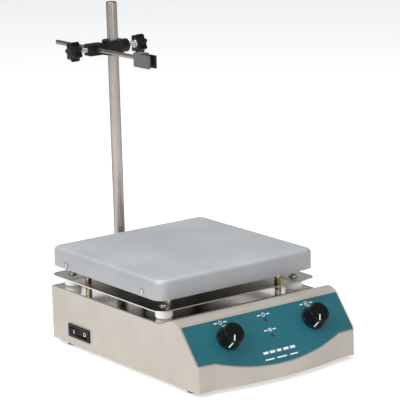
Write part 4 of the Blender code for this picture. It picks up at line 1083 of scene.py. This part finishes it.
def make_studio():
    """Pale floor, bright surround, three softboxes and the camera."""
    studio = bpy.context.scene.stirrer_studio
    make_floor()
    world = bpy.data.worlds.new("surround")
    world.use_nodes = True
    surround = world.node_tree.nodes["Background"]
    surround.inputs["Color"].default_value = (0.96, 0.98, 1.0, 1)
    surround.inputs["Strength"].default_value = studio.sky
    bpy.context.scene.world = world
    bpy.context.scene.view_settings.view_transform = "Standard"
    aim = (0, 0, 0.08)
    softbox("key", (-1.7, -0.5, 1.3), aim, (1.0, 1.0), studio.key)
    softbox("fill", (-0.5, -1.9, 0.7), aim, (1.2, 0.9), studio.fill)
    softbox("overhead", (-0.1, 0.2, 2.0), aim, (1.6, 1.6), studio.top)
    make_camera(studio)


# ---- operators, panel and registration ----
class STIRRER_OT_housing(bpy.types.Operator):
    """Add the rounded housing and its four feet"""
    bl_idname = "stirrer.housing"
    bl_label = "Housing"

    def execute(self, context):
        make_housing()
        return {"FINISHED"}


class STIRRER_OT_shield(bpy.types.Operator):
    """Add the bright cover and reflector with their spacers, pillars and screws"""
    bl_idname = "stirrer.shield"
    bl_label = "Heat shield"

    def execute(self, context):
        make_shield()
        return {"FINISHED"}


class STIRRER_OT_plate(bpy.types.Operator):
    """Add the cast work plate and its side screws"""
    bl_idname = "stirrer.plate"
    bl_label = "Work plate"

    def execute(self, context):
        make_plate()
        return {"FINISHED"}


class STIRRER_OT_panel(bpy.types.Operator):
    """Add the panel film, its printed marks and the lamps"""
    bl_idname = "stirrer.panel"
    bl_label = "Panel"

    def execute(self, context):
        make_panel()
        return {"FINISHED"}


class STIRRER_OT_dials(bpy.types.Operator):
    """Add the two fluted dial knobs and their pointers"""
    bl_idname = "stirrer.dials"
    bl_label = "Dials"

    def execute(self, context):
        make_dials()
        return {"FINISHED"}


class STIRRER_OT_switch(bpy.types.Operator):
    """Add the rocker switch and its marks"""
    bl_idname = "stirrer.switch"
    bl_label = "Switch"

    def execute(self, context):
        make_switch()
        return {"FINISHED"}


class STIRRER_OT_stand(bpy.types.Operator):
    """Add the support rod, its bracket and its nut"""
    bl_idname = "stirrer.stand"
    bl_label = "Rod"

    def execute(self, context):
        make_stand()
        return {"FINISHED"}


class STIRRER_OT_clamps(bpy.types.Operator):
    """Add the boss head with its star knobs and screws"""
    bl_idname = "stirrer.clamps"
    bl_label = "Boss head"

    def execute(self, context):
        make_clamps()
        return {"FINISHED"}


class STIRRER_OT_holder(bpy.types.Operator):
    """Add the thin arm, the holder block and its jaw"""
    bl_idname = "stirrer.holder"
    bl_label = "Probe holder"

    def execute(self, context):
        make_holder()
        return {"FINISHED"}


class STIRRER_OT_rear(bpy.types.Operator):
    """Add the mains inlet and the fuse holder"""
    bl_idname = "stirrer.rear"
    bl_label = "Rear fittings"

    def execute(self, context):
        make_rear()
        return {"FINISHED"}


class STIRRER_OT_internals(bpy.types.Operator):
    """Give every CAD piece its finish"""
    bl_idname = "stirrer.internals"
    bl_label = "Inside pieces"

    def execute(self, context):
        finish_internals()
        return {"FINISHED"}


class STIRRER_OT_studio(bpy.types.Operator):
    """Add the floor, the lights and the camera"""
    bl_idname = "stirrer.studio"
    bl_label = "Studio"

    def execute(self, context):
        make_studio()
        return {"FINISHED"}


STEPS = (STIRRER_OT_housing, STIRRER_OT_shield, STIRRER_OT_plate, STIRRER_OT_panel,
         STIRRER_OT_dials, STIRRER_OT_switch, STIRRER_OT_stand, STIRRER_OT_clamps,
         STIRRER_OT_holder, STIRRER_OT_rear, STIRRER_OT_internals, STIRRER_OT_studio)
GROUPS = (("stirrer_colours", StirrerColours), ("stirrer_sizes", StirrerSizes),
          ("stirrer_studio", StudioSettings))


class STIRRER_PT_panel(bpy.types.Panel):
    """Lists the stirrer's steps and settings"""
    bl_idname = "STIRRER_PT_panel"
    bl_label = "Magnetic stirrer"
    bl_space_type = "VIEW_3D"
    bl_region_type = "UI"
    bl_category = "Stirrer"

    def draw(self, context):
        for step in STEPS:
            self.layout.operator(step.bl_idname)
        for name, group in GROUPS:
            box = self.layout.box()
            for field in group.__annotations__:
                box.prop(getattr(context.scene, name), field)


def register():
    """Register the settings, the operators and the panel."""
    for name, group in GROUPS:
        bpy.utils.register_class(group)
        setattr(bpy.types.Scene, name, PointerProperty(type=group))
    for made in (*STEPS, STIRRER_PT_panel):
        bpy.utils.register_class(made)


def unregister():
    """Take them away again, in reverse order."""
    for made in (STIRRER_PT_panel, *reversed(STEPS)):
        bpy.utils.unregister_class(made)
    for name, group in GROUPS:
        delattr(bpy.types.Scene, name)
        bpy.utils.unregister_class(group)


def main():
    """Run every step in order."""
    register()
    for step in STEPS:
        family, name = step.bl_idname.split(".")
        getattr(getattr(bpy.ops, family), name)()


if __name__ == "__main__":
    main()
